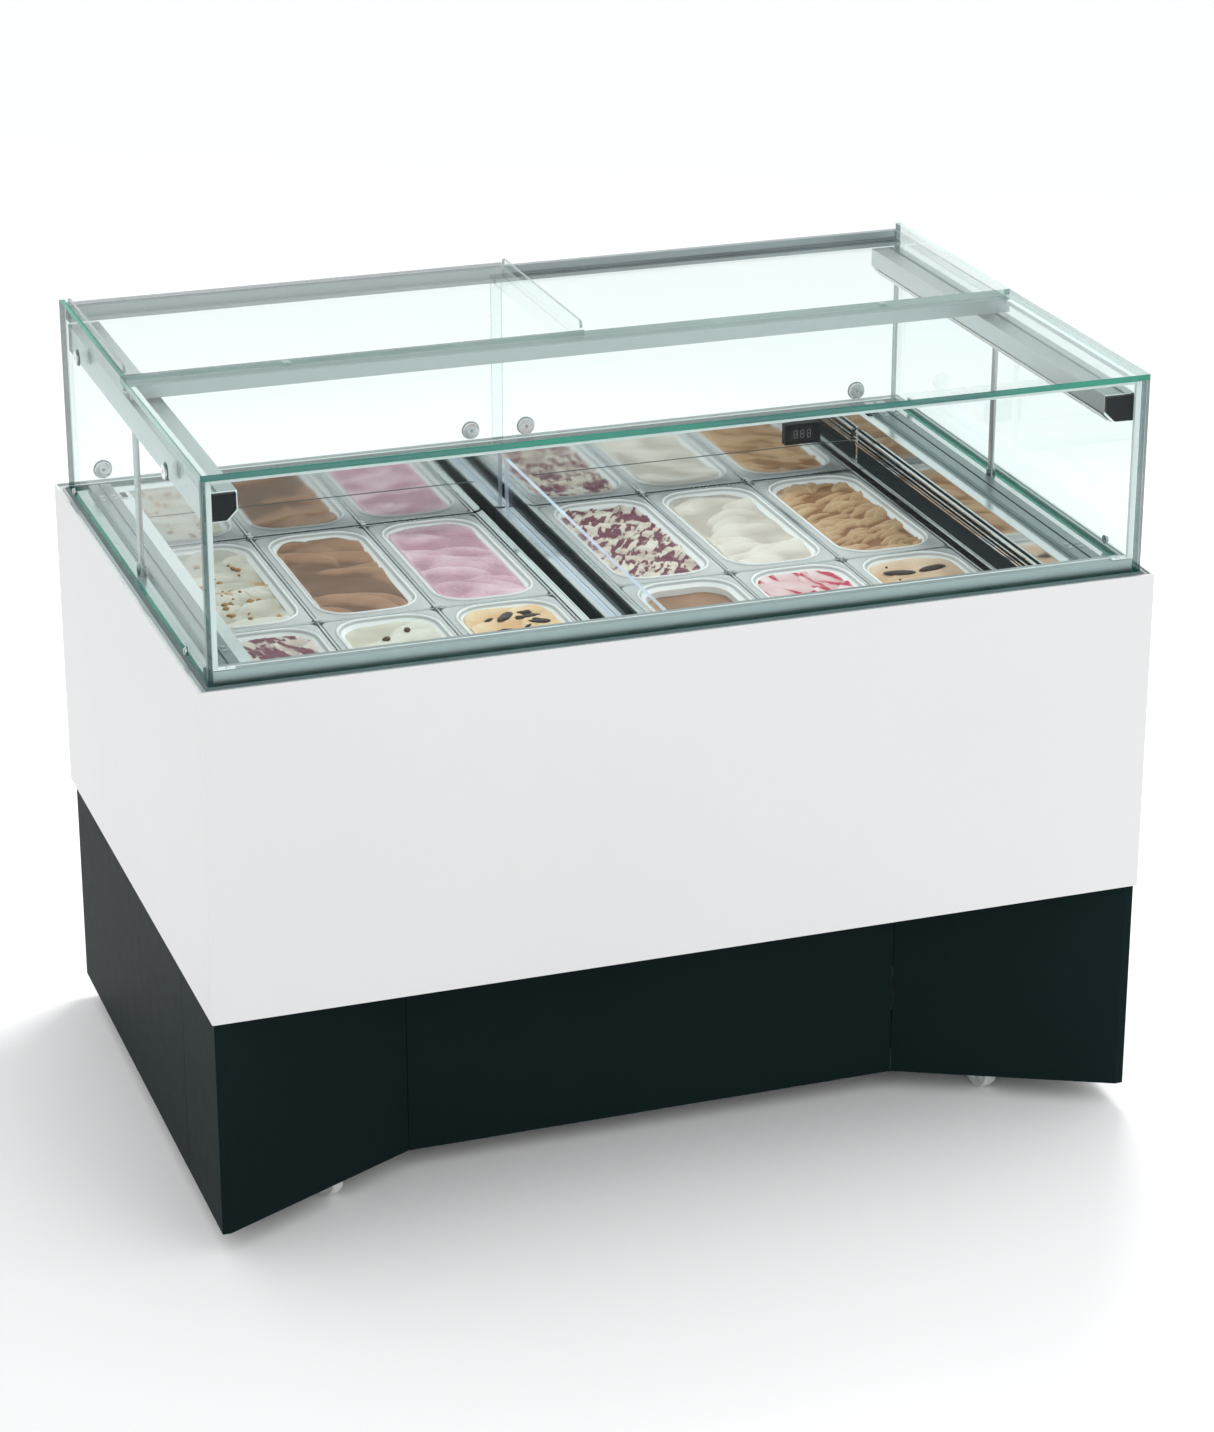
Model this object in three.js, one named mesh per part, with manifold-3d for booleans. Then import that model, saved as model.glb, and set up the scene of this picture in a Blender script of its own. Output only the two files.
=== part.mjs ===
// Ice cream dipping cabinet: a free-standing serving cabinet on casters with twelve tubs
// under a glass case, two sliding lids on the server's side and its cooling unit below.
// Millimetres, +Z up, the customer's side faces -Y, origin on the floor below the middle.
import * as THREE from 'three';
import { mergeVertices } from 'three/addons/utils/BufferGeometryUtils.js';
import Module from 'manifold-3d';

const wasm = await Module();
wasm.setup();

// ---------------------------------------------------------------- driving dimensions
const width = 1320;            // white body, side to side
const depth = 870;             // white body, front to back
const floorGap = 35;           // floor to the bottom of the plinth
const plinthHeight = 310;
const bodyHeight = 460;        // white body
const glassHeight = 279;       // glass case above the white body
const fit = 0.3;               // clearance between neighbouring pieces
const sheet = 3;               // folded sheet panels
const glass = 8;               // front, side and top panes

const front = -depth / 2;
const back = depth / 2;
const side = width / 2;
const bodyBottom = floorGap + plinthHeight;
const bodyTop = bodyBottom + bodyHeight;
const caseTop = bodyTop + glassHeight;

// ---------------------------------------------------------------- tubs and tank
const tubWidth = 165;          // standard 360 x 165 x 120 mm ice cream tub
const tubLength = 360;
const tubHeight = 120;
const tubGap = 6;              // between neighbouring rims, taken by the separators
const columns = 3;             // tubs side by side in each half
const rows = 2;
const ductWidth = 88;          // air duct between the two halves
const ductGap = 3;             // duct to the first separator line
const rimBelowBody = 92;       // tub rims below the top of the white body
const rowShift = 6;            // line between the tub rows, behind the middle
const tubPitchX = tubWidth + tubGap;
const tubPitchY = tubLength + tubGap;
const rimLevel = bodyTop - rimBelowBody;
const tubBottom = rimLevel - tubHeight;
const halfStart = ductWidth / 2 + ductGap;
const halfEnd = halfStart + columns * tubPitchX;

const shelfThickness = 3;
const shelfTop = tubBottom - fit;
const coolingSpace = 60;       // below the shelf, for the evaporator
const tankWallGap = 8;         // outermost separator line to the tank wall
const tankFront = rowShift - tubPitchY - 12;
const tankBack = rowShift + tubPitchY + 5;
const tankSide = halfEnd + tankWallGap;
const tankFloor = shelfTop - shelfThickness - coolingSpace;
const tankBase = 60;           // insulation below the tank floor

// ---------------------------------------------------------------- glass case
const deckThickness = 3;
const deckTop = bodyTop - 2;
const deckLip = 3;             // the deck stands this far over the tank walls
const frontLip = 12;           // and this far over the front one, under the sill
const glassInsetSide = 16;
const glassInsetFront = 12;
const glassInsetBack = 27;
const rearGlass = 5;           // the two rear panes stand in two planes
const paneSide = side - glassInsetSide;
const paneFront = front + glassInsetFront;
const paneBack = back - glassInsetBack;
const insideSide = paneSide - glass - fit;
const topPaneBottom = caseTop - glass;
const topPaneBack = 18;        // rear edge of the fixed top pane
const paneBottom = deckTop + fit;
const sillBack = tankFront + frontLip;
const postInset = 9;           // axis of the slim posts, from the side pane

const lidPlate = 4;
const lidUpperLevel = topPaneBottom;
const lidDrop = 14.5;          // the lower lid runs this far below the upper one
const lidLowerLevel = lidUpperLevel - lidDrop;
const lidOverlap = 21;
const upperFin = 14;           // upturned grip above the upper lid
const lowerFin = lidDrop - lidPlate - 0.5;
const finThickness = 4;
const lidSideGap = 1.2;
const trackFront = -2;         // cross beam: front face, back of its top, back of its low step
const trackStep = 44;
const trackBack = 56;
const trackBottom = topPaneBottom - 20;

// ---------------------------------------------------------------- base
const wheelRadius = 25;
const wheelWidth = 20;
const casterTrail = 14;        // swivel axis to the wheel's axle
const casterAxle = 4;
const casterX = side - 171;
const casterFrontY = front + 141;
const casterRearY = back - 85;
const frameBottom = 70;
const tube = 40;               // square tube of the base frame
const recess = 147;            // the plinth's middle panel stands back this far
const recessHalf = side - 301; // each wing is this wide in plan
const wingReturn = 190;        // side length of a plinth wing
const plinthInset = 3;
const plinthBack = 24;         // the plinth ends this far inside the body's back
const foamBottom = tankFloor - tankBase;

// ---------------------------------------------------------------- finishes
const finishes = {
  whitePaint: [0xe6e7e7, 0.38, 0.0],
  plinthPaint: [0x14211f, 0.42, 0.0],
  steel: [0xb9bdbd, 0.28, 1.0],
  aluminium: [0xa8b0b2, 0.42, 1.0],
  darkAluminium: [0x6d7678, 0.45, 1.0],
  frameSteel: [0x2b2e30, 0.6, 0.4],
  glassPane: [0xd6eee8, 0.05, 0.0],
  acrylic: [0xe4ecec, 0.08, 0.0],
  tubPlastic: [0xf0f0ea, 0.35, 0.0],
  blackPlastic: [0x15181a, 0.35, 0.0],
  greyRubber: [0xb7babb, 0.6, 0.0],
  zinc: [0xaeb2b4, 0.45, 1.0],
};

function material(finish) {
  const [color, roughness, metalness] = finishes[finish];
  const made = new THREE.MeshStandardMaterial({ color, roughness, metalness });
  if (finish === 'glassPane' || finish === 'acrylic') {
    made.transparent = true;
    made.opacity = 0.35;
  }
  return made;
}

// ---------------------------------------------------------------- shape helpers
function toSolid(geometry) {
  const bare = geometry.clone();
  bare.deleteAttribute('normal');
  bare.deleteAttribute('uv');
  const merged = mergeVertices(bare, 1e-4);
  const mesh = new wasm.Mesh({
    numProp: 3,
    vertProperties: new Float32Array(merged.attributes.position.array),
    triVerts: new Uint32Array(merged.index.array),
  });
  mesh.merge();
  return new wasm.Manifold(mesh);
}

function toGeometry(solid) {
  const mesh = solid.getMesh();
  const geometry = new THREE.BufferGeometry();
  geometry.setAttribute('position', new THREE.BufferAttribute(new Float32Array(mesh.vertProperties), 3));
  geometry.setIndex(new THREE.BufferAttribute(new Uint32Array(mesh.triVerts), 1));
  geometry.computeVertexNormals();
  return geometry;
}

function join(...solids) {
  return solids.reduce((sum, next) => sum.add(next));
}

function cut(solid, ...tools) {
  return tools.reduce((rest, tool) => rest.subtract(tool), solid);
}

// a block given by its low and high corner on each axis
function block([x0, x1], [y0, y1], [z0, z1]) {
  const geometry = new THREE.BoxGeometry(x1 - x0, y1 - y0, z1 - z0);
  geometry.translate((x0 + x1) / 2, (y0 + y1) / 2, (z0 + z1) / 2);
  return toSolid(geometry);
}

function outline(points) {
  return new THREE.Shape(points.map(([a, b]) => new THREE.Vector2(a, b)));
}

// a plan outline in X and Y, raised from z0 to z1
function raised(shape, z0, z1) {
  const options = { depth: z1 - z0, bevelEnabled: false, curveSegments: 6 };
  const geometry = new THREE.ExtrudeGeometry(shape, options);
  geometry.translate(0, 0, z0);
  return toSolid(geometry);
}

// a profile in Y and Z, drawn along X
function alongX(points, x0, x1) {
  const geometry = new THREE.ExtrudeGeometry(outline(points), { depth: x1 - x0, bevelEnabled: false });
  geometry.rotateX(Math.PI / 2);
  geometry.rotateZ(Math.PI / 2);
  geometry.translate(x0, 0, 0);
  return toSolid(geometry);
}

// a profile in X and Z, drawn along Y
function alongY(points, y0, y1) {
  const geometry = new THREE.ExtrudeGeometry(outline(points), { depth: y1 - y0, bevelEnabled: false });
  geometry.rotateX(Math.PI / 2);
  geometry.translate(0, y1, 0);
  return toSolid(geometry);
}

function roundedRectangle(halfX, halfY, radius) {
  const shape = new THREE.Shape();
  shape.moveTo(-halfX + radius, -halfY);
  shape.lineTo(halfX - radius, -halfY);
  shape.absarc(halfX - radius, -halfY + radius, radius, -Math.PI / 2, 0, false);
  shape.lineTo(halfX, halfY - radius);
  shape.absarc(halfX - radius, halfY - radius, radius, 0, Math.PI / 2, false);
  shape.lineTo(-halfX + radius, halfY);
  shape.absarc(-halfX + radius, halfY - radius, radius, Math.PI / 2, Math.PI, false);
  shape.lineTo(-halfX, -halfY + radius);
  shape.absarc(-halfX + radius, -halfY + radius, radius, Math.PI, 1.5 * Math.PI, false);
  return shape;
}

// a round bar from z0 to z1 around (x, y)
function upright(radius, x, y, z0, z1, segments = 20) {
  const geometry = new THREE.CylinderGeometry(radius, radius, z1 - z0, segments);
  geometry.rotateX(Math.PI / 2);
  geometry.translate(x, y, (z0 + z1) / 2);
  return toSolid(geometry);
}

// a round bar from y0 to y1 around (x, z)
function crosswise(radius, x, z, y0, y1, segments = 24) {
  const geometry = new THREE.CylinderGeometry(radius, radius, y1 - y0, segments);
  geometry.translate(x, (y0 + y1) / 2, z);
  return toSolid(geometry);
}

function mirrored(solid) {
  return solid.mirror([1, 0, 0]);
}

const cabinet = new THREE.Group();
cabinet.name = 'ice_cream_dipping_cabinet';

function add(name, finish, solid) {
  const mesh = new THREE.Mesh(toGeometry(solid), material(finish));
  mesh.name = name;
  cabinet.add(mesh);
}

function addPair(name, finish, rightSolid) {
  add(`${name}_right`, finish, rightSolid);
  add(`${name}_left`, finish, mirrored(rightSolid));
}

// ================================================================ base
// welded square-tube chassis: floor ring, uprights, upper ring and a tray for the cooling unit
function baseFrame() {
  const railX = casterX;
  const half = tube / 2;
  const bracketSize = 30;
  const railFront = casterFrontY - 30;
  const railBack = back - plinthBack - 15;
  const floorLevel = [frameBottom, frameBottom + tube];
  const upperLevel = [foamBottom - tube, foamBottom - fit];
  const crossFront = [front + recess + sheet + fit, front + recess + sheet + fit + tube];
  const crossBack = [railBack - tube, railBack];
  const pieces = [];
  for (const sign of [-1, 1]) {
    const railSpan = [sign * railX - half, sign * railX + half];
    pieces.push(block(railSpan, [railFront, railBack], floorLevel));
    pieces.push(block(railSpan, [crossFront[0], railBack], upperLevel));
    pieces.push(block(railSpan, crossFront, [floorLevel[0], upperLevel[1]]));
    pieces.push(block(railSpan, crossBack, [floorLevel[0], upperLevel[1]]));
    // short brackets that the side panels of the plinth are screwed to
    const reach = [railX, side - plinthInset - sheet - fit].map((x) => sign * x).sort((a, b) => a - b);
    const bracketLevel = [frameBottom + 170, frameBottom + 170 + bracketSize];
    pieces.push(block(reach, [crossFront[0], crossFront[0] + bracketSize], bracketLevel));
    pieces.push(block(reach, [crossBack[0], crossBack[0] + bracketSize], bracketLevel));
  }
  for (const level of [floorLevel, upperLevel]) {
    pieces.push(block([-railX, railX], crossFront, level));
    pieces.push(block([-railX, railX], crossBack, level));
  }
  const trayFront = -60;
  pieces.push(block([-railX, railX], [trayFront, railBack], [floorLevel[1] - sheet, floorLevel[1]]));
  return join(...pieces);
}

// swivel fork: plate, stem and two cheeks with the axle between them
function casterFork(x, y, turn) {
  const plateHalf = 28;
  const plateBottom = frameBottom - fit - sheet;
  const crownTop = 2 * wheelRadius + 7;
  const plate = block([-plateHalf, plateHalf], [-plateHalf, plateHalf], [plateBottom, frameBottom - fit]);
  const stem = upright(12, 0, 0, crownTop - 2, plateBottom + 1);
  const cheekInner = wheelWidth / 2 + 1;
  const cheekOuter = cheekInner + 2.5;
  const crown = block([-14, casterTrail + 6], [-cheekOuter, cheekOuter], [crownTop - 4, crownTop]);
  const cheekProfile = [
    [-12, crownTop],
    [casterTrail + 5, crownTop],
    [casterTrail + 9, wheelRadius - 6],
    [casterTrail - 6, wheelRadius - 6],
  ];
  const cheeks = [
    alongY(cheekProfile, cheekInner, cheekOuter),
    alongY(cheekProfile, -cheekOuter, -cheekInner),
  ];
  const axle = crosswise(casterAxle, casterTrail, wheelRadius, -cheekOuter - 2, cheekOuter + 2, 16);
  return join(plate, stem, crown, ...cheeks, axle).rotate([0, 0, turn]).translate([x, y, 0]);
}

function casterWheel(x, y, turn) {
  const tread = wheelWidth / 2;
  const profile = [
    [casterAxle + fit, -tread],
    [wheelRadius - 2, -tread],
    [wheelRadius, -tread + 2],
    [wheelRadius, tread - 2],
    [wheelRadius - 2, tread],
    [casterAxle + fit, tread],
    [casterAxle + fit, -tread],
  ].map(([r, h]) => new THREE.Vector2(r, h));
  const geometry = new THREE.LatheGeometry(profile, 32);
  geometry.translate(casterTrail, 0, wheelRadius);
  return toSolid(geometry).rotate([0, 0, turn]).translate([x, y, 0]);
}

// each caster's rest heading, in degrees: the trailing direction from the swivel axis
const casters = {
  front_left: [-casterX, casterFrontY, -60],
  front_right: [casterX, casterFrontY, -75],
  rear_left: [-casterX, casterRearY, 70],
  rear_right: [casterX, casterRearY, 110],
};

// bent side wing: side return, narrow front edge, then the slanting panel
function plinthWing() {
  const outerX = side - plinthInset;
  const outerY = front + plinthInset + 2;
  const edge = 12;
  const slantX = recessHalf;
  const slantY = front + recess;
  const returnEnd = front + wingReturn;
  const run = Math.hypot(outerX - edge - slantX, slantY - outerY);
  const normalX = (slantY - outerY) / run;
  const normalY = (outerX - edge - slantX) / run;
  const innerTurn = sheet * Math.tan(Math.atan2(slantY - outerY, outerX - edge - slantX) / 2);
  const plan = outline([
    [outerX, returnEnd - fit],
    [outerX, outerY],
    [outerX - edge, outerY],
    [slantX, slantY],
    [slantX + sheet * normalX, slantY + sheet * normalY],
    [outerX - edge + innerTurn, outerY + sheet],
    [outerX - sheet, outerY + sheet],
    [outerX - sheet, returnEnd - fit],
  ]);
  return raised(plan, floorGap, bodyBottom - fit);
}

function plinthMiddle() {
  const y = front + recess;
  return block([-recessHalf + fit, recessHalf - fit], [y, y + sheet], [floorGap, bodyBottom - fit]);
}

function plinthSide() {
  const x = side - plinthInset;
  const yBack = back - plinthBack;
  return block([x - sheet, x], [front + wingReturn, yBack], [floorGap, bodyBottom - fit]);
}

// rear cover of the machine space, with rows of air slots
function rearGrille() {
  const half = side - plinthInset - sheet - fit;
  const yBack = back - plinthBack;
  const panel = block([-half, half], [yBack - sheet, yBack], [floorGap, bodyBottom - fit]);
  const slotRows = 8;
  const slotHeight = 8;
  const slotPitch = 26;
  const firstSlot = floorGap + 60;
  const slotColumns = 4;
  const slotLength = 230;
  const columnPitch = 270;
  const slots = [];
  for (let row = 0; row < slotRows; row += 1) {
    const z = firstSlot + row * slotPitch;
    for (let column = 0; column < slotColumns; column += 1) {
      const x = (column - (slotColumns - 1) / 2) * columnPitch;
      const across = [x - slotLength / 2, x + slotLength / 2];
      slots.push(block(across, [yBack - 2 * sheet, yBack + sheet], [z, z + slotHeight]));
    }
  }
  return cut(panel, ...slots);
}

// ================================================================ cooling unit
const trayTop = frameBottom + tube;

// hermetic compressor: domed steel shell on a foot plate
function compressor() {
  const radius = 78;
  const shellHeight = 175;
  const footHeight = 12;
  const x = -300;
  const y = 150;
  const points = [new THREE.Vector2(0, 0), new THREE.Vector2(radius - 12, 0), new THREE.Vector2(radius, 12)];
  const domeSteps = 5;
  const domeHeight = 45;
  const domeStart = shellHeight - domeHeight;
  for (let step = 0; step <= domeSteps; step += 1) {
    const angle = (step / domeSteps) * Math.PI / 2;
    points.push(new THREE.Vector2(radius * Math.cos(angle), domeStart + domeHeight * Math.sin(angle)));
  }
  points[points.length - 1].x = 0;
  const geometry = new THREE.LatheGeometry(points, 28);
  geometry.rotateX(Math.PI / 2);
  geometry.translate(x, y, trayTop + footHeight);
  const feet = block([x - 95, x + 95], [y - 60, y + 60], [trayTop + fit, trayTop + footHeight + 2]);
  const boxReach = [y - radius - 22, y - radius + 10];
  const terminalBox = block([x - 25, x + 25], boxReach, [trayTop + 70, trayTop + 120]);
  return join(toSolid(geometry), feet, terminalBox);
}

const fanX = 170;
const fanRadius = 105;
const fanAxle = 5;
const condenserHeight = 250;
const condenserBack = back - 105;
const condenserFront = condenserBack - 75;
const fanLevel = trayTop + condenserHeight / 2;
const fanBack = condenserFront - 8;

// finned block with a shroud ring and the fan's motor bracket in front of it
function condenser() {
  const half = 150;
  const top = trayTop + condenserHeight;
  const core = block([fanX - half, fanX + half], [condenserFront, condenserBack], [trayTop + fit, top]);
  const grooves = [];
  const finCount = 7;
  const finPitch = (2 * half) / finCount;
  const finEdge = 15;
  for (let index = 1; index < finCount; index += 1) {
    const x = fanX - half + index * finPitch;
    const grooveSpan = [x - finPitch / 4, x + finPitch / 4];
    const grooveReach = [condenserBack - 20, condenserBack + 5];
    grooves.push(block(grooveSpan, grooveReach, [trayTop + finEdge, top - finEdge]));
  }
  const shroudFront = condenserFront - 45;
  const shroud = cut(
    block([fanX - half, fanX + half], [shroudFront, condenserFront], [trayTop + fit, top]),
    crosswise(fanRadius + 8, fanX, fanLevel, shroudFront - 5, condenserFront + 1, 32),
  );
  const axle = crosswise(fanAxle, fanX, fanLevel, fanBack - 40, condenserFront + 5, 16);
  return join(cut(core, ...grooves), shroud, axle);
}

// hub with five flat pitched blades, running on the bracket's axle
function condenserFan() {
  const hubRadius = 26;
  const bladeCount = 5;
  const bladeTilt = 28;
  const hub = crosswise(hubRadius, 0, 0, -14, 14, 20);
  const bladeChord = 54;
  const bladeSheet = 3;
  const blades = [];
  for (let index = 0; index < bladeCount; index += 1) {
    const span = [hubRadius - 6, fanRadius - 3];
    const blade = block([-bladeChord / 2, bladeChord / 2], [-bladeSheet / 2, bladeSheet / 2], span)
      .rotate([0, 0, bladeTilt])
      .rotate([0, (index * 360) / bladeCount, 0]);
    blades.push(blade);
  }
  const bore = crosswise(fanAxle + fit, 0, 0, -20, 20, 16);
  return cut(join(hub, ...blades), bore).translate([fanX, fanBack - 18, fanLevel]);
}

// finned cooling block between the tank floor and the tub shelf
function evaporator() {
  const bottom = tankFloor + fit;
  const halfLength = 360;
  const reach = [-120, 160];
  const body = block([-halfLength, halfLength], reach, [bottom, bottom + 46]);
  const grooves = [];
  const finPitch = 40;
  for (let x = finPitch / 2 - halfLength; x < halfLength; x += finPitch) {
    const across = [x - finPitch / 4, x + finPitch / 4];
    grooves.push(block(across, [reach[0] - 5, reach[1] + 5], [bottom + 8, bottom + 50]));
  }
  return cut(body, ...grooves);
}

// ================================================================ white body
// folded panels: a face with a return along the bottom
const panelReturn = 24;

function facePanel(outer, inner, returnEdge) {
  const returnHalf = side - sheet - fit;
  const face = block([-side, side], [Math.min(outer, inner), Math.max(outer, inner)], [bodyBottom, bodyTop]);
  const foot = block(
    [-returnHalf, returnHalf],
    [Math.min(outer, returnEdge), Math.max(outer, returnEdge)],
    [bodyBottom, bodyBottom + sheet],
  );
  return join(face, foot);
}

function frontPanel() {
  return facePanel(front, front + sheet, front + panelReturn);
}

function rearPanel() {
  return facePanel(back, back - sheet, back - panelReturn);
}

function sidePanel() {
  const face = block([side - sheet, side], [front + sheet + fit, back - sheet - fit], [bodyBottom, bodyTop]);
  const foot = block(
    [side - panelReturn, side],
    [front + panelReturn + fit, back - panelReturn - fit],
    [bodyBottom, bodyBottom + sheet],
  );
  return join(face, foot);
}

// foamed-in-place tank: steel lining, foam and base, open at the top
function insulatedTank() {
  const outerX = side - sheet - fit;
  const outerFront = front + sheet + fit;
  const outerBack = back - sheet - fit;
  const top = deckTop - deckThickness - fit;
  const outer = block([-outerX, outerX], [outerFront, outerBack], [foamBottom, top]);
  const cavity = block([-tankSide, tankSide], [tankFront, tankBack], [tankFloor, top + 5]);
  return cut(outer, cavity);
}

// steel deck plate round the mouth of the tank, under the glass case
function deckFrame() {
  const outerX = side - sheet - fit;
  const outerReach = [front + sheet + fit, back - sheet - fit];
  const plate = block([-outerX, outerX], outerReach, [deckTop - deckThickness, deckTop]);
  const mouth = block(
    [-tankSide + deckLip, tankSide - deckLip],
    [tankFront + frontLip, tankBack - deckLip],
    [deckTop - 2 * deckThickness, deckTop + deckThickness],
  );
  return cut(plate, mouth);
}

// slotted plate that the tubs stand on, with legs to the tank floor
function tubShelf() {
  const halfX = tankSide - 2;
  const plate = block([-halfX, halfX], [tankFront + 2, tankBack - 2], [shelfTop - shelfThickness, shelfTop]);
  const legs = [];
  for (const x of [-420, 0, 420]) {
    for (const y of [tankFront + 42, tankBack - 45]) {
      legs.push(block([x - 10, x + 10], [y - 10, y + 10], [tankFloor + fit, shelfTop - 1]));
    }
  }
  const vents = [];
  const ventPitch = 150;
  const ventLength = 110;
  for (let index = -3; index <= 3; index += 1) {
    const across = [index * ventPitch - ventLength / 2, index * ventPitch + ventLength / 2];
    vents.push(block(across, [tankBack - 14, tankBack - 8], [shelfTop - 10, shelfTop + 5]));
  }
  return cut(join(plate, ...legs), ...vents);
}

// thin separator strips between the tub rims of one half, joined into one grid
function tubGrid() {
  const strip = 3;
  const rise = [rimLevel - 22, rimLevel - 3];
  const y0 = rowShift - tubPitchY;
  const y1 = rowShift + tubPitchY;
  const pieces = [];
  for (let column = 0; column <= columns; column += 1) {
    const x = halfStart + column * tubPitchX;
    pieces.push(block([x - strip / 2, x + strip / 2], [y0 - strip / 2, y1 + strip / 2], rise));
  }
  for (let row = 0; row <= rows; row += 1) {
    const y = y0 + row * tubPitchY;
    pieces.push(block([halfStart, halfEnd], [y - strip / 2, y + strip / 2], rise));
  }
  for (let row = 0; row <= rows; row += 1) {
    for (let column = 1; column < columns; column += 1) {
      const x = halfStart + column * tubPitchX;
      const y = y0 + row * tubPitchY;
      pieces.push(upright(4.5, x, y, rise[0] - 2, rimLevel + 1, 16));
    }
  }
  // low end supports that carry the grid from the shelf
  for (const x of [halfStart, halfEnd]) {
    for (const y of [y0, y1]) {
      const foot = [x - strip / 2, x + strip / 2];
      pieces.push(block(foot, [y - strip / 2, y + strip / 2], [tubBottom, rise[1]]));
    }
  }
  return join(...pieces);
}

// upright air duct between the two halves, with two long outlet slots in its top
function centreDuct() {
  const half = ductWidth / 2;
  const slotInner = 13;
  const slotOuter = 35;
  const slotDepth = 60;
  const wall = rimLevel - 2;
  const profile = [
    [-half, shelfTop + fit],
    [half, shelfTop + fit],
    [half, wall],
    [slotOuter, wall + 2],
    [slotOuter, wall - slotDepth],
    [slotInner, wall - slotDepth],
    [slotInner, wall + 2],
    [-slotInner, wall + 2],
    [-slotInner, wall - slotDepth],
    [-slotOuter, wall - slotDepth],
    [-slotOuter, wall + 2],
    [-half, wall],
  ];
  return alongY(profile, tankFront + 4, tankBack - 4);
}

const dividerHeight = 81;
const dividerThickness = 6;

const dividerFront = tankFront + 41;
const dividerBack = tankBack - 16;

// clear plate that stands on the duct and keeps the two halves apart
function dividerPlate() {
  const half = dividerThickness / 2;
  return block([-half, half], [dividerFront, dividerBack], [rimLevel + fit, rimLevel + dividerHeight]);
}

// temperature display on the tank's rear wall, slim enough for the tubs to lift past it
function controllerDisplay() {
  const proud = 6;
  const y = tankBack - fit;
  const high = deckTop - deckThickness - 5;
  const low = high - 32;
  const middle = halfEnd - 84;
  const halfLength = 29;
  const frame = 6;
  const body = block([middle - halfLength, middle + halfLength], [y - proud, y], [low, high]);
  const windowSpan = [middle - halfLength + frame, middle + halfLength - frame];
  const windowRecess = block(windowSpan, [y - proud - 1, y - proud + 1], [low + frame, high - frame]);
  return cut(body, windowRecess);
}

// one full tub: rim, tapered wall and the frozen fill that stops a little below the rim
function tub(x, y) {
  const rimThickness = 6;
  const taper = 0.9;
  const rimRadius = 12;
  const wallRadius = 34;
  const wallTop = rimLevel - rimThickness;
  const rim = raised(roundedRectangle(tubWidth / 2, tubLength / 2, rimRadius), wallTop, rimLevel);
  const inset = 8;
  const shape = roundedRectangle(tubWidth / 2 - inset, tubLength / 2 - inset, wallRadius);
  const drop = { depth: wallTop - tubBottom, bevelEnabled: false, curveSegments: 6 };
  const section = new THREE.ExtrudeGeometry(shape, drop);
  const position = section.attributes.position;
  for (let index = 0; index < position.count; index += 1) {
    const share = position.getZ(index) / (wallTop - tubBottom);
    const scale = taper + (1 - taper) * share;
    position.setX(index, position.getX(index) * scale);
    position.setY(index, position.getY(index) * (1 - (1 - scale) * tubWidth / tubLength));
  }
  section.translate(0, 0, tubBottom);
  const fillDrop = 4;
  const margin = 14;
  const opening = roundedRectangle(tubWidth / 2 - margin, tubLength / 2 - margin, wallRadius);
  const mouth = raised(opening, rimLevel - fillDrop, rimLevel + 5);
  return cut(join(toSolid(section), rim), mouth).translate([x, y, 0]);
}

// ================================================================ glass case
function glassFront() {
  return block([-paneSide, paneSide], [paneFront, paneFront + glass], [paneBottom, topPaneBottom - fit]);
}

// the side pane rises beside the lids, behind the step where the top pane ends
function glassSide() {
  const profile = [
    [paneFront + glass + fit, paneBottom],
    [paneBack, paneBottom],
    [paneBack, caseTop],
    [topPaneBack + fit, caseTop],
    [topPaneBack + fit, topPaneBottom - fit],
    [paneFront + glass + fit, topPaneBottom - fit],
  ];
  return alongX(profile, paneSide - glass, paneSide);
}

function glassTop() {
  return block([-paneSide, paneSide], [paneFront, topPaneBack], [topPaneBottom, caseTop]);
}

const rearOverlap = 18;
const rearRailBottom = trackBottom;

// the left rear pane stands behind the right one and overlaps it in the middle
function glassRearLeft() {
  const level = [paneBottom, rearRailBottom - fit];
  return block([-insideSide, rearOverlap / 2], [paneBack - rearGlass, paneBack], level);
}

function glassRearRight() {
  const y1 = paneBack - rearGlass - fit;
  return block([-rearOverlap / 2, insideSide], [y1 - rearGlass, y1], [paneBottom, rearRailBottom - fit]);
}

// cross beam under the rear edge of the top pane; its back step carries the lower lid
function topBeam() {
  const top = topPaneBottom - fit;
  const step = lidLowerLevel - fit;
  const wall = 2.5;
  const profile = [
    [trackFront, trackBottom],
    [trackFront + wall, trackBottom],
    [trackFront + wall, top - wall],
    [trackStep - wall, top - wall],
    [trackStep - wall, trackBottom],
    [trackBack, trackBottom],
    [trackBack, step],
    [trackStep, step],
    [trackStep, top],
    [trackFront, top],
  ];
  return alongX(profile, -insideSide, insideSide);
}

// stepped rail on the rear panes that the back edges of both lids run on
function rearRail() {
  const top = topPaneBottom - fit;
  const step = lidLowerLevel - fit;
  const stepY = paneBack - 9;
  const profile = [
    [paneBack - 24, rearRailBottom],
    [paneBack, rearRailBottom],
    [paneBack, top],
    [stepY, top],
    [stepY, step],
    [paneBack - 24, step],
  ];
  return alongX(profile, -insideSide, insideSide);
}

const lidBack = paneBack - 1;

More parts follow.
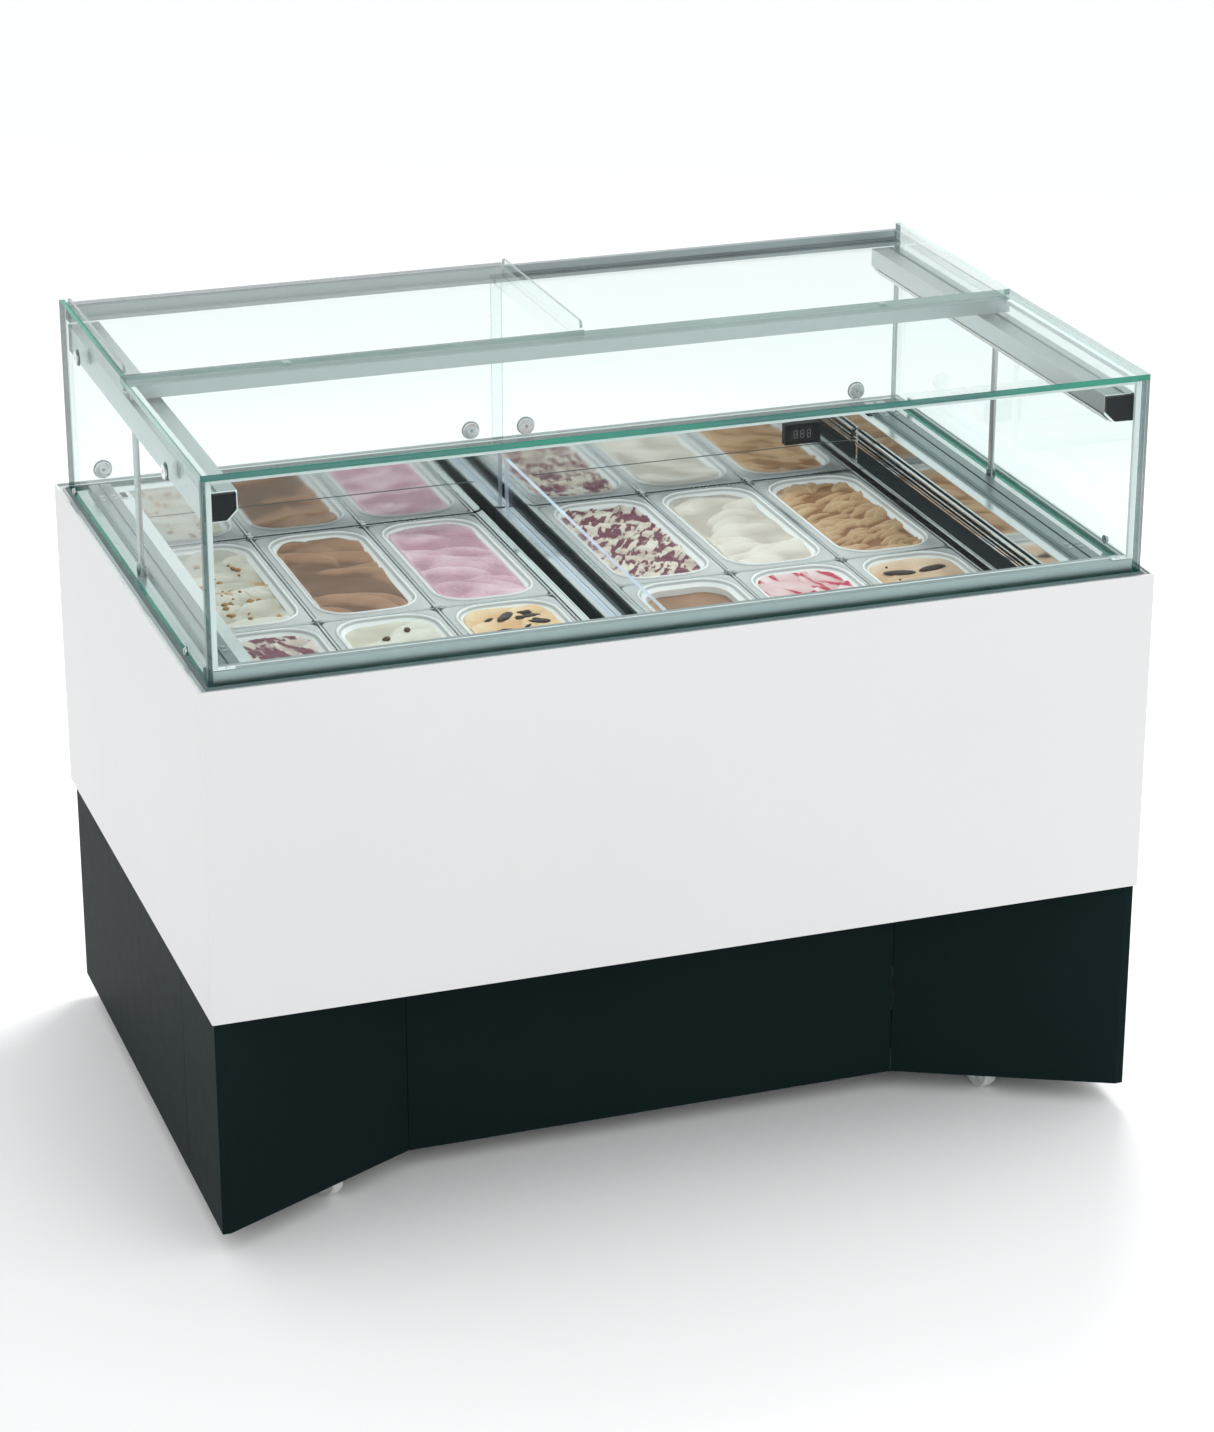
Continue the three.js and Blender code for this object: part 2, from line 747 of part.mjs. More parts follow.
// clear sliding lid with an upturned grip fin on each side edge
function lidUpper() {
  const x0 = -(insideSide - lidSideGap);
  const x1 = lidOverlap / 2;
  const level = [lidUpperLevel, lidUpperLevel + lidPlate];
  const lidFront = trackStep - 8;
  const plate = block([x0, x1], [lidFront, lidBack], level);
  const finFront = trackStep + 1;
  const finBack = lidBack - 14;
  const finTop = lidUpperLevel + upperFin;
  const finProfile = [
    [finFront, level[0]],
    [finBack, level[0]],
    [finBack, finTop - 3],
    [finBack - 3, finTop],
    [finFront + 5, finTop],
    [finFront + 1.5, finTop - 1.5],
    [finFront, finTop - 5],
  ];
  const fins = [alongX(finProfile, x0, x0 + finThickness), alongX(finProfile, x1 - finThickness, x1)];
  return join(plate, ...fins);
}

// the lower lid has one low fin at the right and a turned-down left edge
function lidLower() {
  const x0 = -lidOverlap / 2;
  const x1 = insideSide - lidSideGap;
  const lidFront = trackStep + 1;
  const lidRear = paneBack - 10;
  const plate = block([x0, x1], [lidFront, lidRear], [lidLowerLevel, lidLowerLevel + lidPlate]);
  const finLevel = [lidLowerLevel, lidLowerLevel + lidPlate + lowerFin];
  const fin = block([x1 - finThickness, x1], [lidFront, lidRear], finLevel);
  const edge = block([x0, x0 + 4], [trackBack + 2, paneBack - 26], [lidLowerLevel - 6, lidLowerLevel + 1]);
  return join(plate, fin, edge);
}

const railTop = deckTop + 249;
const railHeight = 39;
const railWidth = 44;

// side light rail: extrusion with a chamfered inner corner, a groove in its top and end caps
function lightRail() {
  const outerX = insideSide;
  const innerX = outerX - railWidth;
  const bottom = railTop - railHeight;
  const profile = [
    [outerX, bottom],
    [outerX, railTop],
    [outerX - 13, railTop],
    [outerX - 13, railTop - 3],
    [outerX - 19, railTop - 3],
    [outerX - 19, railTop],
    [innerX, railTop],
    [innerX, bottom + 13],
    [innerX + 12, bottom],
  ];
  return alongY(profile, front + 40, back - 42);
}

// slim post from the deck to the light rail, with a collar at its foot
function post() {
  const x = insideSide - postInset;
  const y = (trackFront + trackStep) / 2;
  const shaft = upright(4.5, x, y, deckTop + fit, railTop - railHeight - fit, 20);
  const collar = upright(6.5, x, y, deckTop + fit, deckTop + 14, 20);
  return join(shaft, collar);
}

const channelWidth = 32;

// flat profile on the deck beside each side pane, with a groove along its middle
function glassChannel() {
  const outer = insideSide - postInset - 8;
  const inner = outer - channelWidth;
  const middle = (outer + inner) / 2;
  const level = deckTop + fit;
  const top = level + 6;
  const profile = [
    [outer, level],
    [outer, top],
    [middle + 1.5, top],
    [middle + 1.5, top - 3],
    [middle - 1.5, top - 3],
    [middle - 1.5, top],
    [inner, top],
    [inner, level],
  ];
  return alongY(profile, sillBack + fit, paneBack - 2 * rearGlass - 3 * fit);
}

// sloping sill profile along the foot of the front pane
function frontSill() {
  const y0 = paneFront + glass + fit;
  const y1 = sillBack;
  const level = deckTop + fit;
  const profile = [
    [y0, level],
    [y1, level],
    [y1, level + 6],
    [y1 - 8, level + 10],
    [y0 + 10, level + 20],
    [y0, level + 20],
  ];
  return alongX(profile, -insideSide, insideSide);
}

// ================================================================ assembly
add('base_frame', 'frameSteel', baseFrame());
for (const [place, [x, y, turn]] of Object.entries(casters)) {
  add(`caster_fork_${place}`, 'zinc', casterFork(x, y, turn));
  add(`caster_wheel_${place}`, 'greyRubber', casterWheel(x, y, turn));
}
addPair('plinth_wing', 'plinthPaint', plinthWing());
add('plinth_middle_panel', 'plinthPaint', plinthMiddle());
addPair('plinth_side', 'plinthPaint', plinthSide());
add('rear_grille', 'plinthPaint', rearGrille());

add('compressor', 'blackPlastic', compressor());
add('condenser', 'aluminium', condenser());
add('condenser_fan', 'blackPlastic', condenserFan());
add('evaporator', 'aluminium', evaporator());

add('front_panel', 'whitePaint', frontPanel());
add('rear_panel', 'whitePaint', rearPanel());
addPair('side_panel', 'whitePaint', sidePanel());
add('insulated_tank', 'steel', insulatedTank());
add('deck_frame', 'steel', deckFrame());
add('tub_shelf', 'steel', tubShelf());
addPair('tub_grid', 'steel', tubGrid());
add('centre_duct', 'steel', centreDuct());
add('divider_plate', 'acrylic', dividerPlate());
add('controller_display', 'blackPlastic', controllerDisplay());

for (const [half, sign] of [['left', -1], ['right', 1]]) {
  for (const [row, rowY] of [['front', rowShift - tubPitchY / 2], ['rear', rowShift + tubPitchY / 2]]) {
    for (let column = 0; column < columns; column += 1) {
      const place = sign > 0 ? column : columns - 1 - column;
      const x = sign * (halfStart + (place + 0.5) * tubPitchX);
      add(`tub_${half}_${row}_${column + 1}`, 'tubPlastic', tub(x, rowY));
    }
  }
}

add('glass_front', 'glassPane', glassFront());
addPair('glass_side', 'glassPane', glassSide());
add('glass_top', 'glassPane', glassTop());
add('glass_rear_left', 'glassPane', glassRearLeft());
add('glass_rear_right', 'glassPane', glassRearRight());
add('top_beam', 'aluminium', topBeam());
add('rear_rail', 'aluminium', rearRail());
add('lid_upper', 'acrylic', lidUpper());
add('lid_lower', 'acrylic', lidLower());
addPair('light_rail', 'aluminium', lightRail());
addPair('post', 'steel', post());
addPair('glass_channel', 'darkAluminium', glassChannel());
add('front_sill', 'aluminium', frontSill());

export default cabinet;
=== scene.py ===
# %% [markdown]
# # Ice cream dipping cabinet
# A serving cabinet on casters: a white foamed body on a dark plinth, twelve tubs of ice cream in a
# steel tank, and a glass case with two sliding lids on the server's side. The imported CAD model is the
# fixed frame. Everything below either gives a CAD node its finish or adds the detail it lacks.

# %% Load the frame
import math
import random

import bmesh
import bpy
from mathutils import Matrix, Vector, noise


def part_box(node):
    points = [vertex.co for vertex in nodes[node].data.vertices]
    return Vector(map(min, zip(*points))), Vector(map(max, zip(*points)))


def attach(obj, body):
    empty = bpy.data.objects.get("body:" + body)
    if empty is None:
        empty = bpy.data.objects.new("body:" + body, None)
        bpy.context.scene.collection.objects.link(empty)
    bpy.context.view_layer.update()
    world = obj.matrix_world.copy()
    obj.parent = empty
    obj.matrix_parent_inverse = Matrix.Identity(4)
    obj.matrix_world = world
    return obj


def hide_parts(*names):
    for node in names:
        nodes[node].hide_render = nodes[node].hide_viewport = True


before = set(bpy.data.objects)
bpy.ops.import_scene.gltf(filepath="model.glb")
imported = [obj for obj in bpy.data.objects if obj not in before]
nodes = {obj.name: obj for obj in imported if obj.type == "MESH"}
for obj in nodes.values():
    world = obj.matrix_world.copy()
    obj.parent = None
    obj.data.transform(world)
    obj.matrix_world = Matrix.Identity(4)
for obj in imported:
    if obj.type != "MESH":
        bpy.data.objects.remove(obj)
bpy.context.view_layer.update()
mm = 0.001

# %% [markdown]
# ## Camera, floor and light
# The cabinet is looked at from the customer's left, a little above the glass. A large pale floor and a
# white world give the even light of a studio sweep, and two broad lamps model the edges.

# %% Camera
camera_data = bpy.data.cameras.new("studio_camera")
camera_data.lens = 96.9
camera_data.sensor_width = 36
camera = bpy.data.objects.new("studio_camera", camera_data)
bpy.context.scene.collection.objects.link(camera)
camera.location = (-1.655, -4.803, 2.572)
camera.rotation_euler = (math.radians(90 - 21.98), 0, math.radians(-19.34))
bpy.context.scene.camera = camera
bpy.context.scene.view_settings.view_transform = "Standard"

# %% [markdown]
# ## Shader arithmetic
# A finish is a small calculation over the surface. Wire wraps a socket, so that such a calculation reads
# as a Python expression: every operator adds its Math node. Finish owns one material and adds the rest.

# %% Wire and Finish
def plug(tree, socket, value):
    if isinstance(value, Wire):
        tree.links.new(value.socket, socket)
    elif isinstance(value, (tuple, list)) and len(value) == 3 and len(socket.default_value) == 4:
        socket.default_value = (*value, 1.0)
    else:
        socket.default_value = value


class Wire:
    def __init__(self, tree, socket):
        self.tree = tree
        self.socket = socket

    def _math(self, operation, first, second):
        node = self.tree.nodes.new("ShaderNodeMath")
        node.operation = operation
        plug(self.tree, node.inputs[0], first)
        plug(self.tree, node.inputs[1], second)
        return Wire(self.tree, node.outputs[0])

    def __add__(self, other):
        return self._math("ADD", self, other)

    def __mul__(self, other):
        return self._math("MULTIPLY", self, other)

    def __sub__(self, other):
        return self._math("SUBTRACT", self, other)

    def __rsub__(self, other):
        return self._math("SUBTRACT", other, self)

    __radd__ = __add__
    __rmul__ = __mul__


class Finish:
    def __init__(self, name, **values):
        self.material = bpy.data.materials.new(name)
        self.material.use_nodes = True
        self.tree = self.material.node_tree
        self.shader = self.tree.nodes["Principled BSDF"]
        self.set(values)

    def set(self, values):
        for name, value in values.items():
            plug(self.tree, self.shader.inputs[name.replace("_", " ")], value)

    def add(self, kind, settings=None, inputs=None, output=0):
        node = self.tree.nodes.new(kind)
        for name, value in (settings or {}).items():
            if name == "stops":
                ramp = node.color_ramp
                while len(ramp.elements) < len(value):
                    ramp.elements.new(0.5)
                for element, (place, colour) in zip(ramp.elements, value):
                    element.position = place
                    element.color = (*colour, 1.0)
            else:
                setattr(node, name, value)
        for name, value in (inputs or {}).items():
            plug(self.tree, node.inputs[name], value)
        return Wire(self.tree, node.outputs[output])

    def place(self, scale=(1, 1, 1), offset=(0, 0, 0), turn=0.0):
        here = self.add("ShaderNodeTexCoord", output=3)
        if turn:
            here = self.add("ShaderNodeMapping", inputs={"Vector": here, "Rotation": (0, 0, math.radians(turn))})
        return self.add("ShaderNodeMapping", inputs={"Vector": here, "Scale": scale, "Location": offset})

    def noise(self, scale, detail=2.0, stretch=(1, 1, 1), offset=(0, 0, 0), distortion=0.0, turn=0.0):
        where = self.place(stretch, offset, turn)
        inputs = {"Vector": where, "Scale": scale, "Detail": detail, "Distortion": distortion}
        return self.add("ShaderNodeTexNoise", inputs=inputs)

    def ramp(self, value, *stops):
        return self.add("ShaderNodeValToRGB", {"stops": stops}, {0: value})

    def blend(self, share, first, second):
        return self.add("ShaderNodeMix", {"data_type": "RGBA"}, {0: share, 6: first, 7: second}, output=2)

    def bump(self, height, distance, strength=1.0):
        inputs = {"Strength": strength, "Distance": distance, "Height": height}
        self.set({"Normal": self.add("ShaderNodeBump", inputs=inputs)})


# %% Floor and lamps
def studio_floor():
    bm = bmesh.new()
    bmesh.ops.create_grid(bm, x_segments=8, y_segments=8, size=30)
    mesh = bpy.data.meshes.new("studio_floor")
    bm.to_mesh(mesh)
    bm.free()
    floor = bpy.data.objects.new("studio_floor", mesh)
    bpy.context.scene.collection.objects.link(floor)
    pale = Finish("pale_floor", Roughness=0.9)
    pale.set({"Base Color": pale.ramp(pale.noise(1.3), (0.0, (0.96, 0.96, 0.96)), (1.0, (0.98, 0.98, 0.98)))})
    mesh.materials.append(pale.material)


def lamp(name, place, target, size, power):
    data = bpy.data.lights.new(name, "AREA")
    data.shape = "RECTANGLE"
    data.size, data.size_y = size
    data.energy = power
    light = bpy.data.objects.new(name, data)
    light.location = place
    light.visible_glossy = False
    light.rotation_euler = (Vector(target) - Vector(place)).to_track_quat("-Z", "Y").to_euler()
    bpy.context.scene.collection.objects.link(light)


studio_floor()
lamp("overhead_softbox", (1.1, 1.5, 2.9), (0, 0, 0.7), (1.3, 0.9), 62)
lamp("front_softbox", (1.6, -4.2, 2.6), (0, 0, 0.6), (2.4, 2.4), 24)
world = bpy.data.worlds.new("studio_world")
world.use_nodes = True
world.node_tree.nodes["Background"].inputs["Color"].default_value = (0.985, 0.993, 1.0, 1.0)
world.node_tree.nodes["Background"].inputs["Strength"].default_value = 1.03
bpy.context.scene.world = world

# %% [markdown]
# ## Painted sheet metal
# The body is powder coated: a smooth film with a faint orange peel that only shows in the gloss. The
# plinth has the same film in a green-black. Both come from one recipe with different numbers.

# %% Paints
def powder_coat(name, light, dark, roughness, coat, shine=0.5):
    paint = Finish(name, Coat_Weight=coat, Coat_Roughness=0.25, Specular_IOR_Level=shine)
    tone = paint.noise(2.2, 3.0)
    paint.set({"Base Color": paint.ramp(tone, (0.3, dark), (0.7, light))})
    paint.set({"Roughness": paint.noise(38, 4.0) * 0.08 + roughness})
    paint.bump(paint.noise(420, 2.0), 0.00006)
    return paint.material


white_paint = powder_coat("white_powder_coat", (0.70, 0.70, 0.702), (0.685, 0.686, 0.688), 0.42, 0.05)
plinth_paint = powder_coat("green_black_powder_coat", (0.0050, 0.0125, 0.0135), (0.0042, 0.0105, 0.0115), 0.5, 0.0, 0.04)
frame_paint = powder_coat("black_primer", (0.03, 0.03, 0.034), (0.02, 0.02, 0.023), 0.55, 0.0)

# %% [markdown]
# ## Metals
# Brushed and polished steel are one recipe too. Fine noise stretched along one axis gives the grain that
# brushing leaves, and the bump and roughness follow it. Polished steel keeps only a trace of it.

# %% Metals
def brushed_metal(name, light, dark, roughness, spread, grain, depth):
    metal = Finish(name, Metallic=1.0)
    lines = metal.noise(520, 3.0, stretch=grain)
    clouds = metal.noise(6, 3.0)
    metal.set({"Base Color": metal.ramp(lines * 0.5 + clouds * 0.5, (0.25, dark), (0.75, light))})
    metal.set({"Roughness": lines * spread + clouds * (spread * 0.6) + roughness})
    metal.bump(lines, depth)
    return metal.material


along_x = (0.02, 1, 1)
along_y = (1, 0.02, 1)
polished_steel = brushed_metal("polished_steel", (0.80, 0.82, 0.82), (0.70, 0.72, 0.73), 0.03, 0.06, along_x, 0.000003)
chrome = brushed_metal("chrome_plate", (0.86, 0.88, 0.88), (0.74, 0.76, 0.77), 0.03, 0.05, along_y, 0.000003)
deck_steel = brushed_metal("deck_steel", (0.74, 0.77, 0.77), (0.64, 0.68, 0.68), 0.10, 0.10, along_x, 0.00001)
grid_steel = brushed_metal("separator_steel", (0.72, 0.74, 0.74), (0.58, 0.60, 0.61), 0.16, 0.12, along_y, 0.00001)
satin_aluminium = brushed_metal("anodised_aluminium", (0.44, 0.49, 0.50), (0.37, 0.42, 0.43), 0.28, 0.10, along_x, 0.00001)
rail_aluminium = brushed_metal("anodised_rail", (0.50, 0.54, 0.55), (0.43, 0.47, 0.48), 0.24, 0.10, along_y, 0.00001)
dark_aluminium = brushed_metal("anodised_grey", (0.26, 0.31, 0.32), (0.19, 0.23, 0.24), 0.22, 0.10, along_y, 0.00001)
fin_aluminium = brushed_metal("fin_stock", (0.66, 0.68, 0.70), (0.52, 0.54, 0.56), 0.30, 0.12, along_y, 0.00002)
post_steel = brushed_metal("post_steel", (0.46, 0.50, 0.50), (0.34, 0.37, 0.38), 0.10, 0.10, (1, 1, 0.02), 0.00001)
knob_steel = brushed_metal("knob_steel", (0.76, 0.78, 0.78), (0.58, 0.60, 0.61), 0.06, 0.10, (1, 1, 1), 0.00001)
zinc_plate = brushed_metal("zinc_plate", (0.62, 0.63, 0.64), (0.46, 0.47, 0.49), 0.28, 0.16, (1, 1, 0.1), 0.00002)

# %% [markdown]
# ## Plastics and rubber
# Moulded parts have a fine grain. The tubs are a semi-clear white polypropylene, so a little light goes
# into them, and the tyres are a light grey polyurethane.

# %% Plastics
def moulded(name, light, dark, roughness, grain=0.00003, glow=0.0, shine=0.5):
    plastic = Finish(name, Subsurface_Weight=glow, Specular_IOR_Level=shine)
    plastic.shader.inputs["Subsurface Radius"].default_value = (0.004, 0.004, 0.004)
    plastic.set({"Base Color": plastic.ramp(plastic.noise(9, 3.0), (0.3, dark), (0.7, light))})
    plastic.set({"Roughness": plastic.noise(120, 2.0) * 0.12 + roughness})
    plastic.bump(plastic.noise(900, 2.0), grain)
    return plastic.material


black_plastic = moulded("black_moulding", (0.006, 0.008, 0.012), (0.004, 0.005, 0.008), 0.32, 0.00001, shine=0.12)
# near-black for the slots of the tank and the deck: painted shade where the recesses are dark
slot_shade_black = moulded("painted_slot_shade", (0.002, 0.014, 0.022), (0.0015, 0.010, 0.015), 0.5, 0.00001, shine=0.06)
tyre_rubber = moulded("grey_tread", (0.62, 0.63, 0.63), (0.52, 0.53, 0.53), 0.42)
seal_white = moulded("clear_glazing_seal", (0.80, 0.83, 0.83), (0.72, 0.76, 0.76), 0.35, 0.00002, 0.2)
seal_dark = moulded("foot_gasket", (0.10, 0.15, 0.155), (0.07, 0.11, 0.115), 0.45)
diffuser = moulded("light_diffuser", (0.86, 0.88, 0.88), (0.80, 0.82, 0.82), 0.4, 0.00002, 0.2)

# %% [markdown]
# ## Glass and acrylic
# A pane is nearly invisible face on and shows its green along the cut edges, where the light runs
# through the whole width of the sheet. So a pane has two finishes: the face mirrors a little more at a
# grazing angle and lets a faintly tinted view through, and the edge is a deep green with a faint
# emission, a painted glow. The glass edges also come in a darker and a paler copy of that green,
# painted shade and painted highlight, chosen by the way each edge faces.

# %% Glass finishes
def clear_face(name, tint, mirror):
    face = Finish(name, Roughness=0.02, Metallic=1.0)
    streak = face.noise(3.0, 4.0, stretch=(1, 0.4, 0.6))
    face.set({"Base Color": face.ramp(streak, (0.3, (0.92, 0.96, 0.955)), (0.7, (0.98, 0.99, 0.99)))})
    clear = face.add("ShaderNodeBsdfTransparent", inputs={"Color": tint})
    edge_on = face.add("ShaderNodeFresnel", inputs={"IOR": 1.48})
    share = edge_on * mirror
    output = face.tree.nodes["Material Output"]
    inputs = {0: share, 1: clear, 2: Wire(face.tree, face.shader.outputs[0])}
    mixed = face.add("ShaderNodeMixShader", inputs=inputs)
    plug(face.tree, output.inputs["Surface"], mixed)
    return face.material


def cut_edge(name, deep, bright, opacity):
    # the faint emission in the edge colour makes every cut edge glow: painted light
    edge = Finish(name, Roughness=0.12, IOR=1.5, Emission_Strength=0.15)
    shade = edge.noise(14, 3.0, stretch=(0.3, 0.3, 1))
    tone = edge.ramp(shade, (0.3, deep), (0.7, bright))
    edge.set({"Base Color": tone, "Emission Color": tone})
    edge.set({"Alpha": shade * 0.15 + opacity})
    return edge.material


pane_face = clear_face("float_glass_face", (0.952, 0.983, 0.978), 0.2)
pane_edge = cut_edge("float_glass_edge", (0.002, 0.090, 0.080), (0.004, 0.22, 0.145), 0.86)
lid_face = clear_face("acrylic_face", (0.972, 0.989, 0.987), 0.22)
# a darker copy of the glass edge for the upright edges: painted shade
pane_edge_painted_shade = cut_edge("float_glass_edge_painted_shade", (0.004, 0.045, 0.050), (0.008, 0.085, 0.090), 0.70)
# a paler copy of the glass edge for the edges on the listed sides: painted highlight
pane_edge_painted_highlight = cut_edge("float_glass_edge_painted_highlight", (0.20, 0.32, 0.30), (0.40, 0.53, 0.50), 0.50)
lid_edge = cut_edge("acrylic_edge", (0.13, 0.155, 0.165), (0.27, 0.30, 0.31), 0.62)
divider_face = clear_face("divider_face", (0.985, 0.988, 0.995), 0.18)
divider_edge = cut_edge("divider_edge", (0.42, 0.50, 0.66), (0.62, 0.70, 0.82), 0.6)

# %% [markdown]
# ## Finishing the CAD nodes
# The folded panels, profiles and castings keep their CAD shape. Real edges are never razor sharp, so most
# get a small rounded edge from a Weld and a Bevel modifier, which leave the mesh below untouched.

# %% Give the CAD nodes their finishes
def dress(names, material, edge=0.0, segments=2):
    for name in names:
        part = nodes[name]
        part.data.materials.clear()
        part.data.materials.append(material)
        if edge:
            weld = part.modifiers.new("joined_faces", "WELD")
            weld.merge_threshold = 0.00001
            bevel = part.modifiers.new("rounded_edges", "BEVEL")
            bevel.width = edge
            bevel.segments = segments
            bevel.limit_method = "ANGLE"
            bevel.angle_limit = math.radians(35)
            bevel.harden_normals = True


sides = ("left", "right")
corners = ("front_left", "front_right", "rear_left", "rear_right")
dress(["front_panel", "rear_panel", "side_panel_left", "side_panel_right"], white_paint, 1.2 * mm, 3)
dress(["plinth_wing_left", "plinth_wing_right", "plinth_middle_panel"], plinth_paint, 0.8 * mm)
dress(["plinth_side_left", "plinth_side_right", "rear_grille"], plinth_paint, 0.8 * mm)
dress(["base_frame"], frame_paint)
dress(["insulated_tank"], polished_steel)
dress(["deck_frame"], deck_steel, 0.6 * mm)
dress(["centre_duct", "tub_shelf"], polished_steel)
dress(["tub_grid_left", "tub_grid_right"], grid_steel)
dress(["post_left", "post_right"], post_steel)
dress(["top_beam", "rear_rail", "front_sill"], satin_aluminium, 0.5 * mm)
dress(["light_rail_left", "light_rail_right"], rail_aluminium, 0.6 * mm)
dress(["glass_channel_left", "glass_channel_right"], dark_aluminium, 0.4 * mm)
dress(["condenser", "evaporator"], fin_aluminium)
dress(["compressor", "condenser_fan", "controller_display"], black_plastic, 0.8 * mm)
dress(["caster_fork_" + corner for corner in corners], zinc_plate, 0.5 * mm)
print("metal and paint finishes given")

# %% [markdown]
# A pane's faces and edges are told apart by the direction they point in: the thin axis of the sheet is
# the face. On the lids the fins count as well, so there the narrow faces are found by their direction
# and by how high they stand.

# %% Give the panes their two finishes
def glaze(name, thin_axis, finishes, painted_highlight_sides=()):
    pane = nodes[name]
    pane.data.materials.clear()
    for finish in finishes:
        pane.data.materials.append(finish)
    for polygon in pane.data.polygons:
        normal = polygon.normal
        if abs(normal[thin_axis]) > 0.9:
            polygon.material_index = 0
        # edges that face one of the listed sides take the paler copy: painted highlight
        elif any(normal.dot(Vector(side)) > 0.9 for side in painted_highlight_sides):
            polygon.material_index = 3
        # upright edges of a standing pane take the darker copy: painted shade
        elif abs(normal.z) < 0.1 and thin_axis != Z_AXIS:
            polygon.material_index = 2
        else:
            polygon.material_index = 1


def glaze_lid(name, plate_top):
    lid = nodes[name]
    lid.data.materials.clear()
    lid.data.materials.append(lid_face)
    lid.data.materials.append(lid_edge)
    for polygon in lid.data.polygons:
        fin_edge = abs(polygon.normal.z) > 0.5 and polygon.center.z > plate_top + 1 * mm
        polygon.material_index = 1 if fin_edge or abs(polygon.normal.y) > 0.5 else 0


X_AXIS, Y_AXIS, Z_AXIS = 0, 1, 2
LEFT, RIGHT, BACK, UP = (-1, 0, 0), (1, 0, 0), (0, 1, 0), (0, 0, 1)
pane_finishes = (pane_face, pane_edge, pane_edge_painted_shade, pane_edge_painted_highlight)
glaze("glass_front", Y_AXIS, pane_finishes)
# the sides listed after the finishes are the edges painted paler as highlights
glaze("glass_top", Z_AXIS, pane_finishes, [LEFT, RIGHT, BACK])
glaze("glass_side_left", X_AXIS, pane_finishes)
glaze("glass_side_right", X_AXIS, pane_finishes, [UP])
for pane_side in sides:
    glaze("glass_rear_" + pane_side, Y_AXIS, pane_finishes, [LEFT, RIGHT, UP])
glaze("divider_plate", X_AXIS, (divider_face, divider_edge, divider_edge))
lid_plate = 4 * mm
upper_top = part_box("glass_top")[0].z + lid_plate
lower_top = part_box("lid_lower")[1].z - 10 * mm
glaze_lid("lid_upper", upper_top)
glaze_lid("lid_lower", lower_top)
print("panes glazed")
# %% [markdown]
# ## Making a piece
# Every new piece ends the same way: its bmesh becomes a mesh object at the origin, takes its finish, and
# rides on the body it belongs to.

# %% Piece maker
def piece(name, bm, material, body="cabinet", smooth=False, replaces=()):
    bmesh.ops.remove_doubles(bm, verts=bm.verts, dist=0.000002)
    bmesh.ops.recalc_face_normals(bm, faces=bm.faces)
    mesh = bpy.data.meshes.new(name)
    bm.to_mesh(mesh)
    bm.free()
    for finish in material if isinstance(material, (list, tuple)) else [material]:
        mesh.materials.append(finish)
    if smooth:
        mesh.shade_smooth()
    made = bpy.data.objects.new(name, mesh)
    bpy.context.scene.collection.objects.link(made)
    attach(made, body)
    if replaces:
        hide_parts(*replaces)
    return made


def smooth_by_angle(made, degrees=35):
    made.data.set_sharp_from_angle(angle=math.radians(degrees))


# a bar between two corners, with its edges rounded
def add_bar(bm, low, high, rounding=0.0, segments=2):
    middle = (Vector(low) + Vector(high)) / 2
    size = Vector(high) - Vector(low)
    made = bmesh.ops.create_cube(bm, size=1.0, matrix=Matrix.Translation(middle) @ Matrix.Diagonal((*size, 1)))
    if rounding:
        edges = list({edge for vertex in made["verts"] for edge in vertex.link_edges})
        bmesh.ops.bevel(bm, geom=edges, offset=rounding, affect="EDGES", segments=segments,
                        profile=0.5, material=-1, clamp_overlap=True)


# a closed outline, carried along Y or X as an extruded profile is
def add_profile(bm, outline, start, end, along="Y"):
    if along == "Y":
        loop = [bm.verts.new((a, start, b)) for a, b in outline]
        way = Vector((0, end - start, 0))
    else:
        loop = [bm.verts.new((start, a, b)) for a, b in outline]
        way = Vector((end - start, 0, 0))
    face = bm.faces.new(loop)
    raised = bmesh.ops.extrude_face_region(bm, geom=[face], use_keep_orig=True)
    ends = [item for item in raised["geom"] if isinstance(item, bmesh.types.BMVert)]
    bmesh.ops.translate(bm, verts=ends, vec=way)


# half a section, turned round an axis: points are (distance from the axis, height along it)
def add_turned(bm, section, centre, axis="Z", steps=24):
    turned = bmesh.new()
    loop = [turned.verts.new((radius, 0, height)) for radius, height in section]
    edges = [turned.edges.new(pair) for pair in zip(loop, loop[1:])]
    bmesh.ops.spin(turned, geom=loop + edges, cent=(0, 0, 0), axis=(0, 0, 1),
                   angle=math.tau, steps=steps, use_merge=True)
    bmesh.ops.remove_doubles(turned, verts=turned.verts, dist=0.000002)
    turns = {"Z": Matrix(), "X": Matrix.Rotation(math.pi / 2, 4, "Y"), "Y": Matrix.Rotation(-math.pi / 2, 4, "X")}
    bmesh.ops.transform(turned, matrix=Matrix.Translation(centre) @ turns[axis], verts=turned.verts)
    joined = bpy.data.meshes.new("turned")
    turned.to_mesh(joined)
    turned.free()
    bm.from_mesh(joined)
    bpy.data.meshes.remove(joined)


# %% [markdown]
# ## The tubs
# A tub is a thin moulded tray: a flat flange with small outer corners, a raised lip round a mouth with
# large corners, and walls that taper so that tubs stack. Each level of that shape is a rounded rectangle,
# so the tub is built as a stack of rings, bridged from the outside of the bottom over the rim to the
# inside of the bottom. A cube with a hole would have neither the lip nor the change of corner radius.

# %% Ring stack
def ring_point(station, half_x, half_y, radius, level, centre):
    side_x, side_y, angle = station
    x = side_x * (half_x - radius) + radius * math.cos(angle)
    y = side_y * (half_y - radius) + radius * math.sin(angle)
    return Vector((centre[0] + x, centre[1] + y, level))


